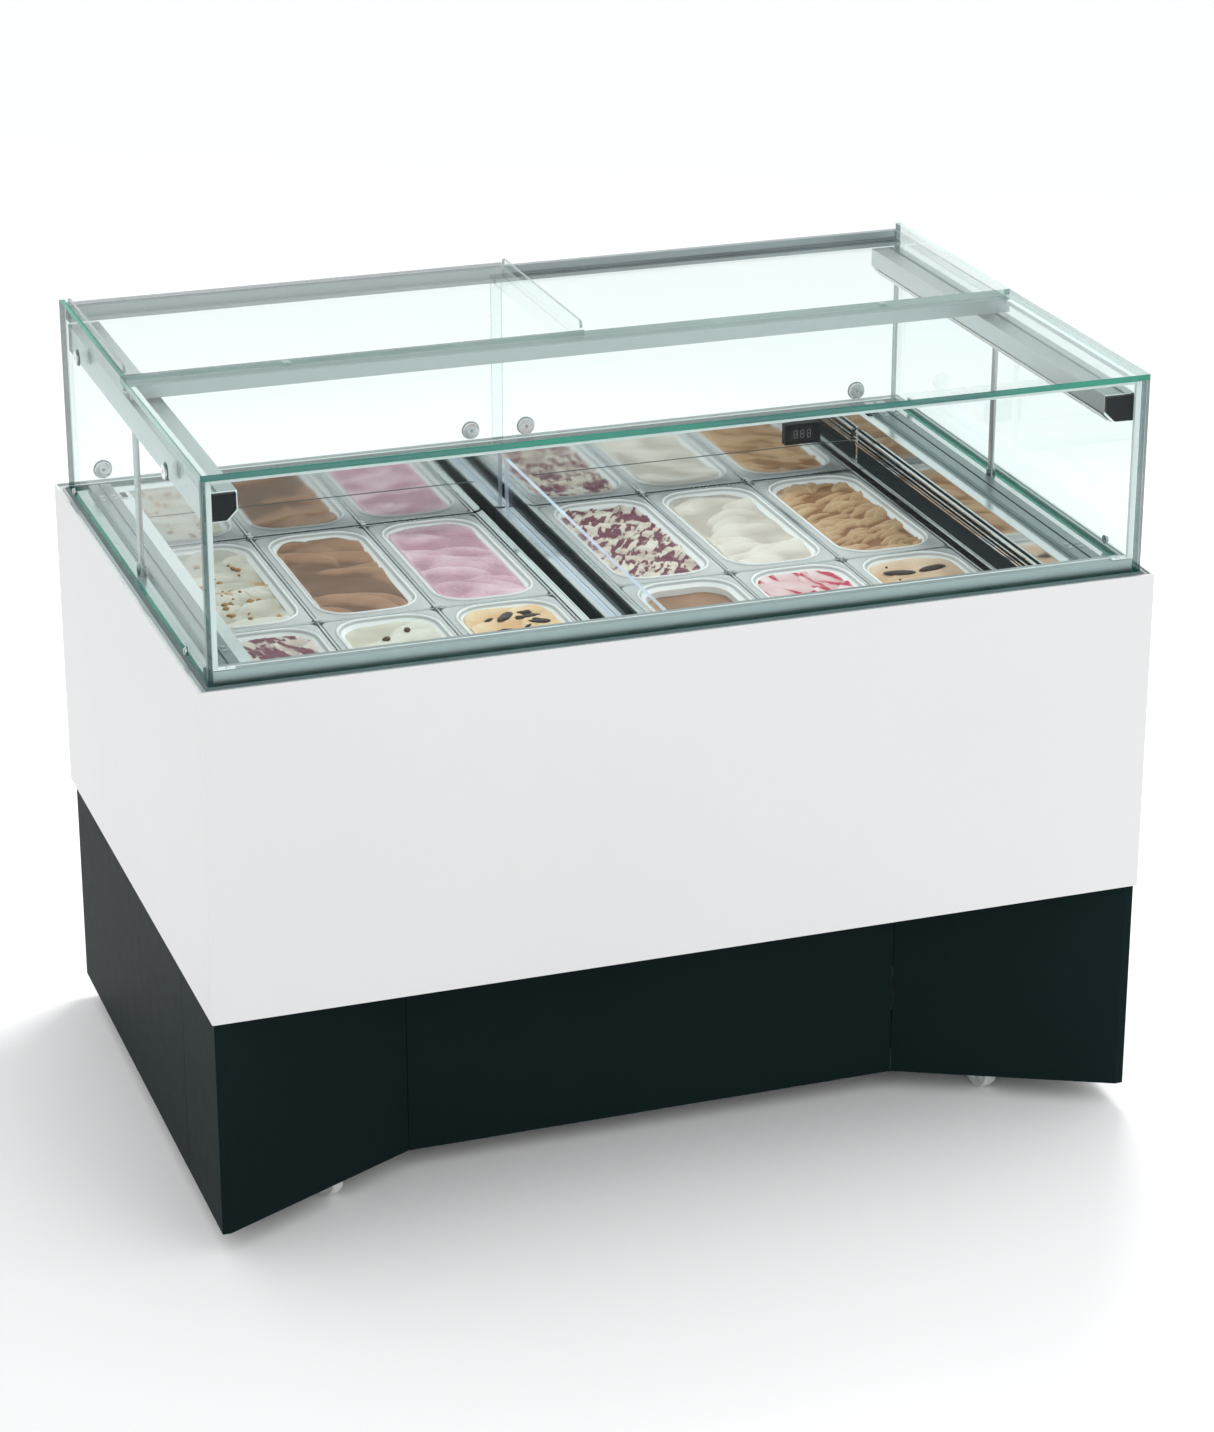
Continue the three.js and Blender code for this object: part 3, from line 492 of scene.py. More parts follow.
# a flat face with rounded corners; gives its edges and each vertex's station: its corner and its angle
def add_rounded_face(bm, centre, half_x, half_y, radius, level, segments=6):
    place = Matrix.Translation((centre[0], centre[1], level)) @ Matrix.Diagonal((half_x, half_y, 1, 1))
    known = set(bm.faces)
    made = bmesh.ops.create_grid(bm, x_segments=1, y_segments=1, size=1, matrix=place)
    bmesh.ops.bevel(bm, geom=made["verts"], offset=radius, affect="VERTICES", segments=segments,
                    profile=0.5, material=-1)
    face = next(item for item in bm.faces if item not in known)
    stations = {}
    for vertex in face.verts:
        x, y = vertex.co.x - centre[0], vertex.co.y - centre[1]
        side_x, side_y = math.copysign(1, x), math.copysign(1, y)
        angle = math.atan2(y - side_y * (half_y - radius), x - side_x * (half_x - radius))
        stations[vertex] = (side_x, side_y, angle)
    return face, list(face.edges), stations


def add_ring_stack(bm, centre, rings, closed=False):
    face, edges, stations = add_rounded_face(bm, centre, *rings[0])
    if closed:
        bmesh.ops.delete(bm, geom=[face], context="FACES_ONLY")
        rings = [*rings, rings[0]]
    for ring in rings[1:]:
        drawn = bmesh.ops.extrude_edge_only(bm, edges=edges)
        fresh = [item for item in drawn["geom"] if isinstance(item, bmesh.types.BMVert)]
        moved = {}
        for vertex in fresh:
            root = next(edge.other_vert(vertex) for edge in vertex.link_edges if edge.other_vert(vertex) in stations)
            moved[vertex] = stations[root]
        for vertex, station in moved.items():
            vertex.co = ring_point(station, *ring, centre)
        stations = moved
        edges = [item for item in drawn["geom"] if isinstance(item, bmesh.types.BMEdge)
                 and all(vertex in moved for vertex in item.verts)]
    if not closed:
        bmesh.ops.contextual_create(bm, geom=edges)


# %% Tub shells
def tub_finish():
    tub = Finish("tub_polypropylene_painted_flange_reflection", Subsurface_Weight=0.2)
    tub.shader.inputs["Subsurface Radius"].default_value = (0.004, 0.004, 0.004)
    height = tub.add("ShaderNodeSeparateXYZ", inputs={0: tub.place()}, output=2)
    # the flat flange band below the lip is painted grey, a painted reflection of the steel, while the lip and the walls
    # stay pale
    flange_top = (height - (rim_level - 2.7 * mm)) * 600
    inside = (rim_level - 3.9 * mm - height) * 700
    painted_flange_reflection_mask = tub.add("ShaderNodeMath", {"operation": "MAXIMUM"}, {0: flange_top, 1: inside})
    worn = tub.noise(14, 3.0) * 0.16
    tub.set({"Base Color": tub.ramp(painted_flange_reflection_mask + worn, (0.05, (0.49, 0.49, 0.485)), (0.5, (0.63, 0.63, 0.625)),
                                    (0.95, (0.87, 0.865, 0.86)))})
    tub.set({"Roughness": tub.noise(90, 3.0) * 0.12 + 0.14})
    tub.bump(tub.noise(300, 2.0), 0.00002)
    return tub.material


rim_half_x = (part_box("tub_left_front_1")[1].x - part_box("tub_left_front_1")[0].x) / 2
rim_half_y = (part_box("tub_left_front_1")[1].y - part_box("tub_left_front_1")[0].y) / 2
rim_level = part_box("tub_left_front_1")[1].z
tub_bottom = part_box("tub_left_front_1")[0].z
flange = 8.5 * mm
mouth_x = rim_half_x - flange - 3.5 * mm
mouth_y = rim_half_y - flange - 3.5 * mm
mouth_radius = 46 * mm
collar = 9 * mm                # sloping band between the lip and the ice cream
collar_depth = 9 * mm
fill_x = mouth_x - collar
fill_y = mouth_y - collar
fill_radius = mouth_radius - collar
rim_radius = 12 * mm
inner_taper = 7 * mm
wall = 2 * mm


def tub_rings():
    flange_level = rim_level - 3 * mm
    shoulder = rim_level - 9 * mm
    low_x = fill_x - 1 * mm
    low_y = fill_y - 1 * mm
    return [
        (low_x, low_y, mouth_radius - inner_taper, tub_bottom),
        (low_x + 1.5 * mm, low_y + 1.5 * mm, mouth_radius - inner_taper, tub_bottom + 1.5 * mm),
        (fill_x + wall, fill_y + wall, fill_radius + wall, rim_level - collar_depth - wall),
        (mouth_x + wall, mouth_y + wall, mouth_radius + wall, shoulder + 1 * mm),
        (rim_half_x - 3 * mm, rim_half_y - 3 * mm, rim_radius, flange_level - 1.6 * mm),
        (rim_half_x - 1.6 * mm, rim_half_y - 1.6 * mm, rim_radius, shoulder + 1 * mm),
        (rim_half_x - 0.2 * mm, rim_half_y - 0.2 * mm, rim_radius, shoulder + 1 * mm),
        (rim_half_x, rim_half_y, rim_radius, flange_level - 1.0 * mm),
        (rim_half_x - 0.8 * mm, rim_half_y - 0.8 * mm, rim_radius, flange_level - 0.1 * mm),
        (rim_half_x - 2.0 * mm, rim_half_y - 2.0 * mm, rim_radius, flange_level),
        (mouth_x + 4.6 * mm, mouth_y + 4.6 * mm, mouth_radius + 3 * mm, flange_level),
        (mouth_x + 3.6 * mm, mouth_y + 3.6 * mm, mouth_radius + 3 * mm, flange_level + 0.7 * mm),
        (mouth_x + 2.8 * mm, mouth_y + 2.8 * mm, mouth_radius + 2 * mm, rim_level - 0.5 * mm),
        (mouth_x + 1.8 * mm, mouth_y + 1.8 * mm, mouth_radius + 1 * mm, rim_level),
        (mouth_x + 0.8 * mm, mouth_y + 0.8 * mm, mouth_radius, rim_level - 0.4 * mm),
        (mouth_x, mouth_y, mouth_radius, rim_level - 2.0 * mm),
        (mouth_x - 2.5 * mm, mouth_y - 2.5 * mm, mouth_radius - 2.5 * mm, rim_level - 4.2 * mm),
        (fill_x, fill_y, fill_radius, rim_level - collar_depth),
        (low_x - 1.0 * mm, low_y - 1.0 * mm, mouth_radius - inner_taper, tub_bottom + 40 * mm),
        (low_x - 1.0 * mm, low_y - 1.0 * mm, mouth_radius - inner_taper, tub_bottom + 6 * mm),
        (low_x - 2.0 * mm, low_y - 2.0 * mm, mouth_radius - inner_taper, tub_bottom + 2.5 * mm),
    ]


def tub_centre(name):
    low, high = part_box(name)
    return ((low.x + high.x) / 2, (low.y + high.y) / 2)


# %% [markdown]
# ## Ice cream
# Gelato is pressed into the tub with a spatula, which leaves long overlapping folds: each stroke rises
# gently and breaks off at a crest. The surface is a fine grid shaped to the tub's mouth. Its height is a
# sum of strokes, soft lumps and a fine crumb, and the grid's rim is drawn down to close the block.

# %% Frozen surface
def to_mouth(u, v, half_x, half_y, radius):
    square = max(abs(u), abs(v), 1e-6)
    edge_u, edge_v = u / square, v / square
    x, y = abs(edge_u) * half_x, abs(edge_v) * half_y
    corner_x, corner_y = half_x - radius, half_y - radius
    if x > corner_x and y > corner_y:
        reach = 1.0
        low, high = 0.5, 1.0
        for _ in range(14):
            reach = (low + high) / 2
            inside = math.hypot(x * reach - corner_x, y * reach - corner_y) < radius or x * reach < corner_x \
                or y * reach < corner_y
            low, high = (reach, high) if inside else (low, reach)
        x, y = x * reach, y * reach
    return math.copysign(x, u) * square, math.copysign(y, v) * square


class Scoop:
    """How one flavour was worked: strokes of the spatula, each a curved pad that rises to a crest."""

    def __init__(self, fill, height, strokes, size, turn, lump=1 * mm, crumb=0.2 * mm, dome=0.0, seed=0, bend=0.3,
                 slim=0.42):
        self.fill = fill
        self.height = height
        self.lump = lump
        self.crumb = crumb
        self.dome = dome
        self.seed = seed
        self.bend = bend
        dice = random.Random(seed)
        self.strokes = []
        for _ in range(strokes):
            spot = (dice.uniform(-0.95, 0.95) * mouth_x, dice.uniform(-0.98, 0.98) * mouth_y)
            lean = math.radians(turn + dice.uniform(-16, 16))
            long = size * dice.uniform(0.8, 1.3)
            self.strokes.append((spot, math.cos(lean), math.sin(lean), long, long * slim, dice.uniform(0.6, 1.0)))

    def fold(self, x, y):
        best = 0.0
        for (spot_x, spot_y), cosine, sine, long, wide, lift in self.strokes:
            along = ((x - spot_x) * cosine + (y - spot_y) * sine) / long
            if abs(along) < 1:
                across = ((y - spot_y) * cosine - (x - spot_x) * sine) / wide + self.bend * (along * along - 0.5)
                inside = 1 - along * along - across * across
                if inside > 0:
                    best = max(best, lift * (0.45 + 0.55 * across) * min(1.0, inside * 3.5))
        return best

    def level(self, x, y, edge):
        spot = Vector((x * 16, y * 16, self.seed * 3.7))
        shift = noise.noise_vector(spot) * 9 * mm
        folds = self.fold(x + shift.x, y + shift.y) * self.height * 0.75
        lumps = noise.noise(spot * 1.6) * self.lump
        crumbs = noise.fractal(Vector((x * 190, y * 190, self.seed)), 0.9, 2.1, 3) * self.crumb
        wall_climb = 1.5 * mm * max(0.0, edge - 0.88) / 0.12
        crown = self.dome * (1 - edge ** 2.5)
        return -self.fill + folds + lumps + crumbs + crown + wall_climb


def frozen_block(centre, scoop):
    bm = bmesh.new()
    crest_layer = bm.verts.layers.float.new("crest")
    grid = bmesh.ops.create_grid(bm, x_segments=58, y_segments=128, size=1.0)
    half_x, half_y = fill_x + 1.6 * mm, fill_y + 1.6 * mm
    for vertex in grid["verts"]:
        u, v = vertex.co.x, vertex.co.y
        edge = max(abs(u), abs(v))
        x, y = to_mouth(u, v, half_x, half_y, fill_radius)
        level = scoop.level(x, y, edge)
        vertex.co = (centre[0] + x, centre[1] + y, rim_level + level)
        # the height within the folds, from which the finish paints the tops paler and the low parts darker: painted
        # light and shade
        vertex[crest_layer] = (level + scoop.fill - scoop.dome * (1 - edge ** 2.5)) / scoop.height
    rim = [edge for edge in bm.edges if edge.is_boundary]
    drawn = bmesh.ops.extrude_edge_only(bm, edges=rim)
    lower = [item for item in drawn["geom"] if isinstance(item, bmesh.types.BMVert)]
    for vertex in lower:
        vertex.co.z = rim_level - 34 * mm
        vertex.co.x = centre[0] + (vertex.co.x - centre[0]) * 0.96
        vertex.co.y = centre[1] + (vertex.co.y - centre[1]) * 0.985
    bmesh.ops.holes_fill(bm, edges=[edge for edge in bm.edges if edge.is_boundary], sides=0)
    return bm


# %% [markdown]
# The colour of an ice cream is never even: the churned-in sauce follows the strokes, and ice crystals
# break up the gloss. One recipe mixes a base with light and shade painted by height: the tops of the
# folds are painted paler and the low parts darker, and some flavours take a darker valley colour,
# painted shade in the creases. Then it lays the sauce in where a stretched noise runs over a threshold,
# so that ripples come out as soft-edged ribbons.

# %% Ice cream finishes
def ice_cream_finish(name, shade, base, pale, sauce=None, spread=(0.56, 0.62), ribbon=30, painted_valley_shade=None, turn=-30):
    cream = Finish(name, Subsurface_Weight=0.12)
    cream.shader.inputs["Subsurface Radius"].default_value = (0.004, 0.003, 0.002)
    clouds = cream.noise(24, 4.0, distortion=0.6)
    crest = cream.add("ShaderNodeAttribute", {"attribute_name": "crest"}, output="Fac")
    # higher parts of the surface are painted paler and lower parts darker: painted light and shade
    tone = cream.ramp(clouds * 0.4 + crest * 0.6, (0.15, shade), (0.42, base), (0.8, pale))
    # the valley colour is painted shade in the creases between the folds
    if painted_valley_shade:
        low = cream.ramp(crest + clouds * 0.3, (0.16, (1, 1, 1)), (0.36, (0, 0, 0)))
        tone = cream.blend(low, tone, painted_valley_shade)
    if sauce:
        ripple = cream.noise(ribbon, 5.0, stretch=(1, 0.28, 1), distortion=0.45, turn=turn)
        mask = cream.ramp(ripple + crest * 0.06, (spread[0], (0, 0, 0)), (spread[1], (1, 1, 1)))
        tone = cream.blend(mask, tone, sauce)
    cream.set({"Base Color": tone})
    crystals = cream.noise(900, 3.0)
    cream.set({"Roughness": crystals * 0.25 + 0.34})
    cream.bump(crystals * 0.6 + cream.noise(260, 4.0) * 0.9, 0.0007, 1.0)
    return cream.material


flavours = {
    "tub_left_rear_1": (
        Scoop(11 * mm, 7 * mm, 16, 48 * mm, 20, 2.5 * mm, 0.5 * mm, seed=1),
        ice_cream_finish("nut_cream", (0.46, 0.42, 0.34), (0.62, 0.59, 0.51), (0.74, 0.72, 0.65),
                         (0.50, 0.26, 0.10), (0.63, 0.68), 34)),
    "tub_left_rear_2": (
        Scoop(12 * mm, 7 * mm, 14, 70 * mm, -28, 1.5 * mm, 0.15 * mm, 2 * mm, seed=2, bend=1.2, slim=0.34),
        ice_cream_finish("nut_chocolate", (0.18, 0.082, 0.042), (0.325, 0.168, 0.093), (0.47, 0.28, 0.175), turn=0,
                         painted_valley_shade=(0.15, 0.072, 0.038))),
    "tub_left_rear_3": (
        Scoop(9 * mm, 4 * mm, 26, 50 * mm, -24, 1.8 * mm, 0.8 * mm, 2 * mm, seed=3),
        ice_cream_finish("berry_pink", (0.44, 0.23, 0.30), (0.60, 0.37, 0.44), (0.76, 0.57, 0.62))),
    "tub_left_front_1": (
        Scoop(10 * mm, 6 * mm, 40, 24 * mm, 40, 2 * mm, 0.5 * mm, seed=4),
        ice_cream_finish("cherry_swirl", (0.44, 0.36, 0.31), (0.64, 0.56, 0.50), (0.74, 0.68, 0.62),
                         (0.17, 0.050, 0.072), (0.49, 0.54), 54)),
    "tub_left_front_2": (
        Scoop(10 * mm, 6 * mm, 12, 60 * mm, 20, 1.8 * mm, 0.2 * mm, seed=5),
        ice_cream_finish("plain_milk", (0.52, 0.48, 0.38), (0.68, 0.65, 0.56), (0.78, 0.76, 0.69))),
    "tub_left_front_3": (
        Scoop(9 * mm, 6 * mm, 20, 42 * mm, 30, 2 * mm, 0.5 * mm, 2 * mm, seed=6),
        ice_cream_finish("orange_cream", (0.66, 0.40, 0.20), (0.76, 0.54, 0.32), (0.84, 0.70, 0.50),
                         (0.74, 0.36, 0.08), (0.60, 0.70), 22)),
    "tub_right_front_1": (
        Scoop(19 * mm, 3.5 * mm, 7, 80 * mm, 15, 1.2 * mm, 0.15 * mm, seed=7),
        ice_cream_finish("milk_chocolate", (0.27, 0.145, 0.082), (0.36, 0.205, 0.125), (0.45, 0.28, 0.185))),
    "tub_right_front_2": (
        Scoop(9 * mm, 8 * mm, 30, 34 * mm, 35, 2.5 * mm, 0.4 * mm, 2 * mm, seed=8),
        ice_cream_finish("cherry_ripple", (0.62, 0.38, 0.39), (0.76, 0.60, 0.60), (0.84, 0.75, 0.73),
                         (0.45, 0.018, 0.06), (0.50, 0.56), 48)),
    "tub_right_front_3": (
        Scoop(9 * mm, 4 * mm, 9, 70 * mm, 10, 1.6 * mm, 0.3 * mm, 2 * mm, seed=9),
        ice_cream_finish("peach_cream", (0.56, 0.35, 0.21), (0.68, 0.48, 0.33), (0.78, 0.61, 0.46))),
    "tub_right_rear_1": (
        Scoop(12 * mm, 8 * mm, 80, 26 * mm, -38, 2.5 * mm, 0.6 * mm, 2 * mm, seed=10, slim=0.3),
        ice_cream_finish("forest_fruit", (0.46, 0.37, 0.31), (0.66, 0.58, 0.50), (0.76, 0.70, 0.62),
                         (0.155, 0.040, 0.062), (0.51, 0.55), 88, turn=35)),
    "tub_right_rear_2": (
        Scoop(10 * mm, 9 * mm, 22, 50 * mm, 24, 2.5 * mm, 0.4 * mm, 2 * mm, seed=11),
        ice_cream_finish("white_cream", (0.48, 0.42, 0.36), (0.66, 0.59, 0.52), (0.79, 0.74, 0.68))),
    "tub_right_rear_3": (
        Scoop(12 * mm, 9 * mm, 90, 30 * mm, 30, 2.5 * mm, 0.5 * mm, 2 * mm, seed=12, bend=0.7, slim=0.24),
        ice_cream_finish("caramel", (0.36, 0.19, 0.085), (0.51, 0.315, 0.17), (0.68, 0.49, 0.32),
                         painted_valley_shade=(0.24, 0.10, 0.03))),
}

# %% Fill the tubs
tub_plastic = tub_finish()
for tub_name, (scoop, cream) in flavours.items():
    middle = tub_centre(tub_name)
    shell_mesh = bmesh.new()
    add_ring_stack(shell_mesh, middle, tub_rings())
    shell = piece(tub_name.replace("tub", "tub_shell"), shell_mesh, tub_plastic, tub_name,
                  smooth=True, replaces=[tub_name])
    smooth_by_angle(shell, 50)
    fill_name = tub_name.replace("tub", "ice_cream")
    piece(fill_name, frozen_block(middle, scoop), cream, tub_name, smooth=True)
print("tubs filled:", len(flavours))
# %% [markdown]
# ## What lies on the ice cream
# Some flavours carry pieces: caramelised nuts, raisins, strips of dark chocolate, chocolate leaves. Each
# bit starts as a small sphere, is squeezed and roughened, and is laid on the surface of its own tub.

# %% Toppings
def surface_level(scoop, x, y):
    edge = max(abs(x) / fill_x, abs(y) / fill_y)
    return rim_level + scoop.level(x, y, edge)


def add_bit(bm, centre, size, turn, rough, seed):
    made = bmesh.ops.create_icosphere(bm, subdivisions=2, radius=1.0)
    verts = made["verts"]
    for vertex in verts:
        bulge = 1 + rough * noise.noise(vertex.co * 2.2 + Vector((seed * 1.7, 0, 0)))
        vertex.co = Vector((vertex.co.x * size[0], vertex.co.y * size[1], vertex.co.z * size[2])) * bulge
    bmesh.ops.transform(bm, matrix=Matrix.Translation(centre) @ Matrix.Rotation(turn, 4, "Z"), verts=verts)


def topping(name, tub_name, bits, material):
    bm = bmesh.new()
    scoop = flavours[tub_name][0]
    middle = tub_centre(tub_name)
    for index, (x, y, size, turn, rough) in enumerate(bits):
        height = surface_level(scoop, x, y) + size[2] * 0.35
        add_bit(bm, (middle[0] + x, middle[1] + y, height), size, math.radians(turn), rough, index)
    piece(name, bm, material, tub_name, smooth=True)


caramel_bits = moulded("caramel_nuts", (0.58, 0.31, 0.10), (0.36, 0.16, 0.045), 0.25, 0.0003)
dark_chocolate = moulded("dark_chocolate", (0.035, 0.020, 0.015), (0.018, 0.010, 0.008), 0.34, 0.0003)
raisin_brown = moulded("coffee_bean", (0.10, 0.065, 0.030), (0.05, 0.030, 0.016), 0.4, 0.0003)

dice = random.Random(7)
nut_bits = []
for _ in range(46):
    spread_x = dice.uniform(-0.8, 0.8) * fill_x
    spread_y = dice.uniform(-0.88, 0.88) * fill_y
    grain = dice.uniform(1.8, 5.5) * mm
    nut_bits.append((spread_x, spread_y, (grain, grain * 0.8, grain * 0.6), dice.uniform(0, 180), 0.5))
topping("nut_bits", "tub_left_rear_1", nut_bits, caramel_bits)

bean = (6.5 * mm, 4.5 * mm, 3.5 * mm)
topping("coffee_beans", "tub_left_front_2", [
    (-12 * mm, 96 * mm, bean, 20, 0.15), (24 * mm, 118 * mm, bean, 75, 0.15), (6 * mm, 30 * mm, bean, -35, 0.15),
    (-30 * mm, 8 * mm, bean, 50, 0.15), (18 * mm, -60 * mm, bean, 10, 0.15)], raisin_brown)

shard_bits = []
for _ in range(30):
    long = dice.uniform(6, 21) * mm
    spread_x = dice.uniform(-0.72, 0.72) * fill_x
    spread_y = dice.uniform(-0.9, 0.9) * fill_y
    shard_bits.append((spread_x, spread_y, (long, long * 0.36, 2.0 * mm), dice.uniform(-50, 50), 0.6))
topping("chocolate_strips", "tub_left_front_3", shard_bits, dark_chocolate)

leaf_bits = []
for row in range(3):
    for lean, place in ((-14, -25 * mm), (16, 25 * mm)):
        leaf_bits.append((place, (112 - 92 * row) * mm, (24 * mm, 9 * mm, 1.8 * mm), lean, 0.18))
for _ in range(14):
    dot = dice.uniform(1.2, 2.4) * mm
    leaf_bits.append((dice.uniform(-40, 40) * mm, dice.uniform(-120, 140) * mm, (dot, dot, dot), 0, 0.3))
topping("chocolate_leaves", "tub_right_front_3", leaf_bits, dark_chocolate)

# %% [markdown]
# ## Air ducts of the tank
# Cold air leaves the middle duct through two dark slots and is drawn in again along the side walls,
# behind a chrome louvre above a deep return slot. In CAD the walls are plain, so the ribs and louvres
# are added here as extruded profiles that stay clear of the tubs when those are lifted. The darkness of
# the slots is painted shade: near-black bars line the middle slots, and thin near-black bars on the side
# walls stand for the return slots.

# %% Middle duct trims
tank_low, tank_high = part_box("centre_duct")
duct_top = tank_high.z
slot_inner, slot_outer = 13 * mm, 35 * mm
duct_start, duct_end = tank_low.y + 1 * mm, tank_high.y - 1 * mm
slot_shade_bars = bmesh.new()
ribs = bmesh.new()
for way in (-1, 1):
    low_x, high_x = sorted((way * (slot_inner + 0.4 * mm), way * (slot_outer - 0.4 * mm)))
    # a near-black bottom and walls in each slot: painted shade
    add_bar(slot_shade_bars, (low_x, duct_start, duct_top - 42 * mm), (high_x, duct_end, duct_top - 38 * mm))
    for wall_x in (slot_inner + 0.9 * mm, slot_outer - 0.9 * mm):
        wall_low, wall_high = sorted((way * (wall_x - 0.5 * mm), way * (wall_x + 0.5 * mm)))
        add_bar(slot_shade_bars, (wall_low, duct_start, duct_top - 39 * mm), (wall_high, duct_end, duct_top - 3 * mm))
    for rib in range(3):
        rib_x = way * (5.2 + 3.1 * rib) * mm
        add_profile(ribs, [(rib_x - 1.1 * mm, duct_top + 0.05 * mm), (rib_x + 1.1 * mm, duct_top + 0.05 * mm),
                           (rib_x + 0.6 * mm, duct_top + 1.1 * mm), (rib_x - 0.6 * mm, duct_top + 1.1 * mm)],
                    duct_start, duct_end)
    lip_x = way * (slot_outer + 1.2 * mm)
    add_bar(ribs, (lip_x - 1.0 * mm, duct_start, duct_top - 1.9 * mm), (lip_x + 1.0 * mm, duct_end, duct_top + 1.5 * mm),
            0.3 * mm)
piece("duct_slot_painted_shade", slot_shade_bars, slot_shade_black)
piece("duct_ribs", ribs, chrome)

# %% Side louvres
tank_side = 568 * mm
deck_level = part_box("deck_frame")[1].z
louvre_y = (duct_start + 2 * mm, duct_end - 2 * mm)


def side_louvre(way):
    bars = bmesh.new()
    face_x = tank_side - 0.5 * mm
    for base, height, proud in ((-31, 3, 6.0), (-38, 2, 7.5), (-44, 2, 7.5), (-50, 3, 6.0), (-80, 3, 5.0)):
        level = deck_level + base * mm
        low_x, high_x = sorted((way * (face_x - proud * mm), way * face_x))
        add_bar(bars, (low_x, louvre_y[0], level), (high_x, louvre_y[1], level + height * mm), 0.5 * mm)
    piece(f"side_louvre_{'left' if way < 0 else 'right'}", bars, chrome)
    # thin near-black bars on the wall stand for the deep return slots: painted shade
    side_slot_shade = bmesh.new()
    for base, height, deep in ((-77, 26, 1.2), (-29, 2.5, 0.8), (-48, 17, 0.9)):
        level = deck_level + base * mm
        low_x, high_x = sorted((way * (face_x - deep * mm), way * face_x))
        add_bar(side_slot_shade, (low_x, louvre_y[0], level), (high_x, louvre_y[1], level + height * mm))
    piece(f"side_slot_{'left' if way < 0 else 'right'}", side_slot_shade, slot_shade_black)


for way in (-1, 1):
    side_louvre(way)

# %% [markdown]
# The rear wall of the tank is one mirror with a folded seam half way up; the tubs in front of it seem to
# go on behind it. A thin dark line is enough for the seam.

# %% Rear wall seam
seam = bmesh.new()
wall_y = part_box("centre_duct")[1].y + 4 * mm
for half_start, half_end in ((-tank_side + 2 * mm, -45 * mm), (45 * mm, tank_side - 2 * mm)):
    add_bar(seam, (half_start, wall_y - 0.7 * mm, deck_level - 45 * mm), (half_end, wall_y - 0.2 * mm, deck_level - 44 * mm))
piece("rear_wall_seam", seam, seal_dark)

# %% [markdown]
# ## Temperature display
# A black moulding with a smoked window and three seven-segment figures that are switched off.

# %% Display
display_low, display_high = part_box("controller_display")
window = bmesh.new()
add_bar(window, (display_low.x + 6.5 * mm, display_low.y + 0.35 * mm, display_low.z + 6.5 * mm),
        (display_high.x - 6.5 * mm, display_low.y + 0.9 * mm, display_high.z - 6.5 * mm))
smoked = moulded("smoked_window", (0.010, 0.012, 0.015), (0.007, 0.008, 0.010), 0.08, 0.000005, shine=0.25)
piece("display_window", window, smoked)

figures = bmesh.new()
figure_w, figure_h, bar_w = 6.5 * mm, 12 * mm, 1.1 * mm
figure_y = display_low.y + 0.1 * mm
figure_z = (display_low.z + display_high.z) / 2 - figure_h / 2
for place in range(3):
    left_x = display_low.x + (14 + 11 * place) * mm
    for level in (0, figure_h / 2, figure_h):
        add_bar(figures, (left_x + bar_w, figure_y, figure_z + level - bar_w / 2),
                (left_x + figure_w - bar_w, figure_y + 0.2 * mm, figure_z + level + bar_w / 2), 0.08 * mm, 1)
    for upright_x in (left_x, left_x + figure_w - bar_w):
        for level in (0, figure_h / 2):
            add_bar(figures, (upright_x, figure_y, figure_z + level + bar_w / 2),
                    (upright_x + bar_w, figure_y + 0.2 * mm, figure_z + level + figure_h / 2 - bar_w / 2), 0.08 * mm, 1)
dim_figure = moulded("unlit_segment", (0.22, 0.23, 0.24), (0.18, 0.19, 0.20), 0.3)
piece("display_figures", figures, dim_figure)

# %% [markdown]
# ## Seals and glazing lines
# The panes stand on the deck in a gasket and are bonded to each other with clear silicone, which reads as
# pale lines beside the green edges. They are thin bars and one ring round the foot of the glass.

# %% Foot gasket and corner seals
glass_low, glass_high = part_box("glass_front")
top_low, top_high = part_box("glass_top")
side_low, side_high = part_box("glass_side_right")
pane = glass_high.y - glass_low.y
half_case_x = (side_high.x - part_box("glass_side_left")[0].x) / 2
half_case_y = (side_high.y - glass_low.y) / 2
case_middle = (0, (side_high.y + glass_low.y) / 2)
gap = 0.3 * mm

gasket = bmesh.new()
ring_in, ring_out = gap, 5.5 * mm
add_ring_stack(gasket, case_middle, [
    (half_case_x + ring_in, half_case_y + ring_in, 1 * mm, deck_level + 0.1 * mm),
    (half_case_x + ring_out, half_case_y + ring_out, 4 * mm, deck_level + 0.1 * mm),
    (half_case_x + ring_out, half_case_y + ring_out, 4 * mm, deck_level + 1.2 * mm),
    (half_case_x + ring_in + 1.5 * mm, half_case_y + ring_in + 1.5 * mm, 2 * mm, deck_level + 4.2 * mm),
    (half_case_x + ring_in, half_case_y + ring_in, 1 * mm, deck_level + 4.2 * mm)], closed=True)
piece("foot_gasket", gasket, seal_dark)

trim = bmesh.new()
add_ring_stack(trim, case_middle, [
    (half_case_x + ring_out + 0.3 * mm, half_case_y + ring_out + 0.3 * mm, 4 * mm, deck_level + 0.1 * mm),
    (half_case_x + 9 * mm, half_case_y + 6.4 * mm, 5 * mm, deck_level + 0.1 * mm),
    (half_case_x + 9 * mm, half_case_y + 6.4 * mm, 5 * mm, deck_level + 1.6 * mm),
    (half_case_x + ring_out + 0.3 * mm, half_case_y + ring_out + 0.3 * mm, 4 * mm, deck_level + 1.9 * mm)],
    closed=True)
piece("foot_trim", trim, rail_aluminium)

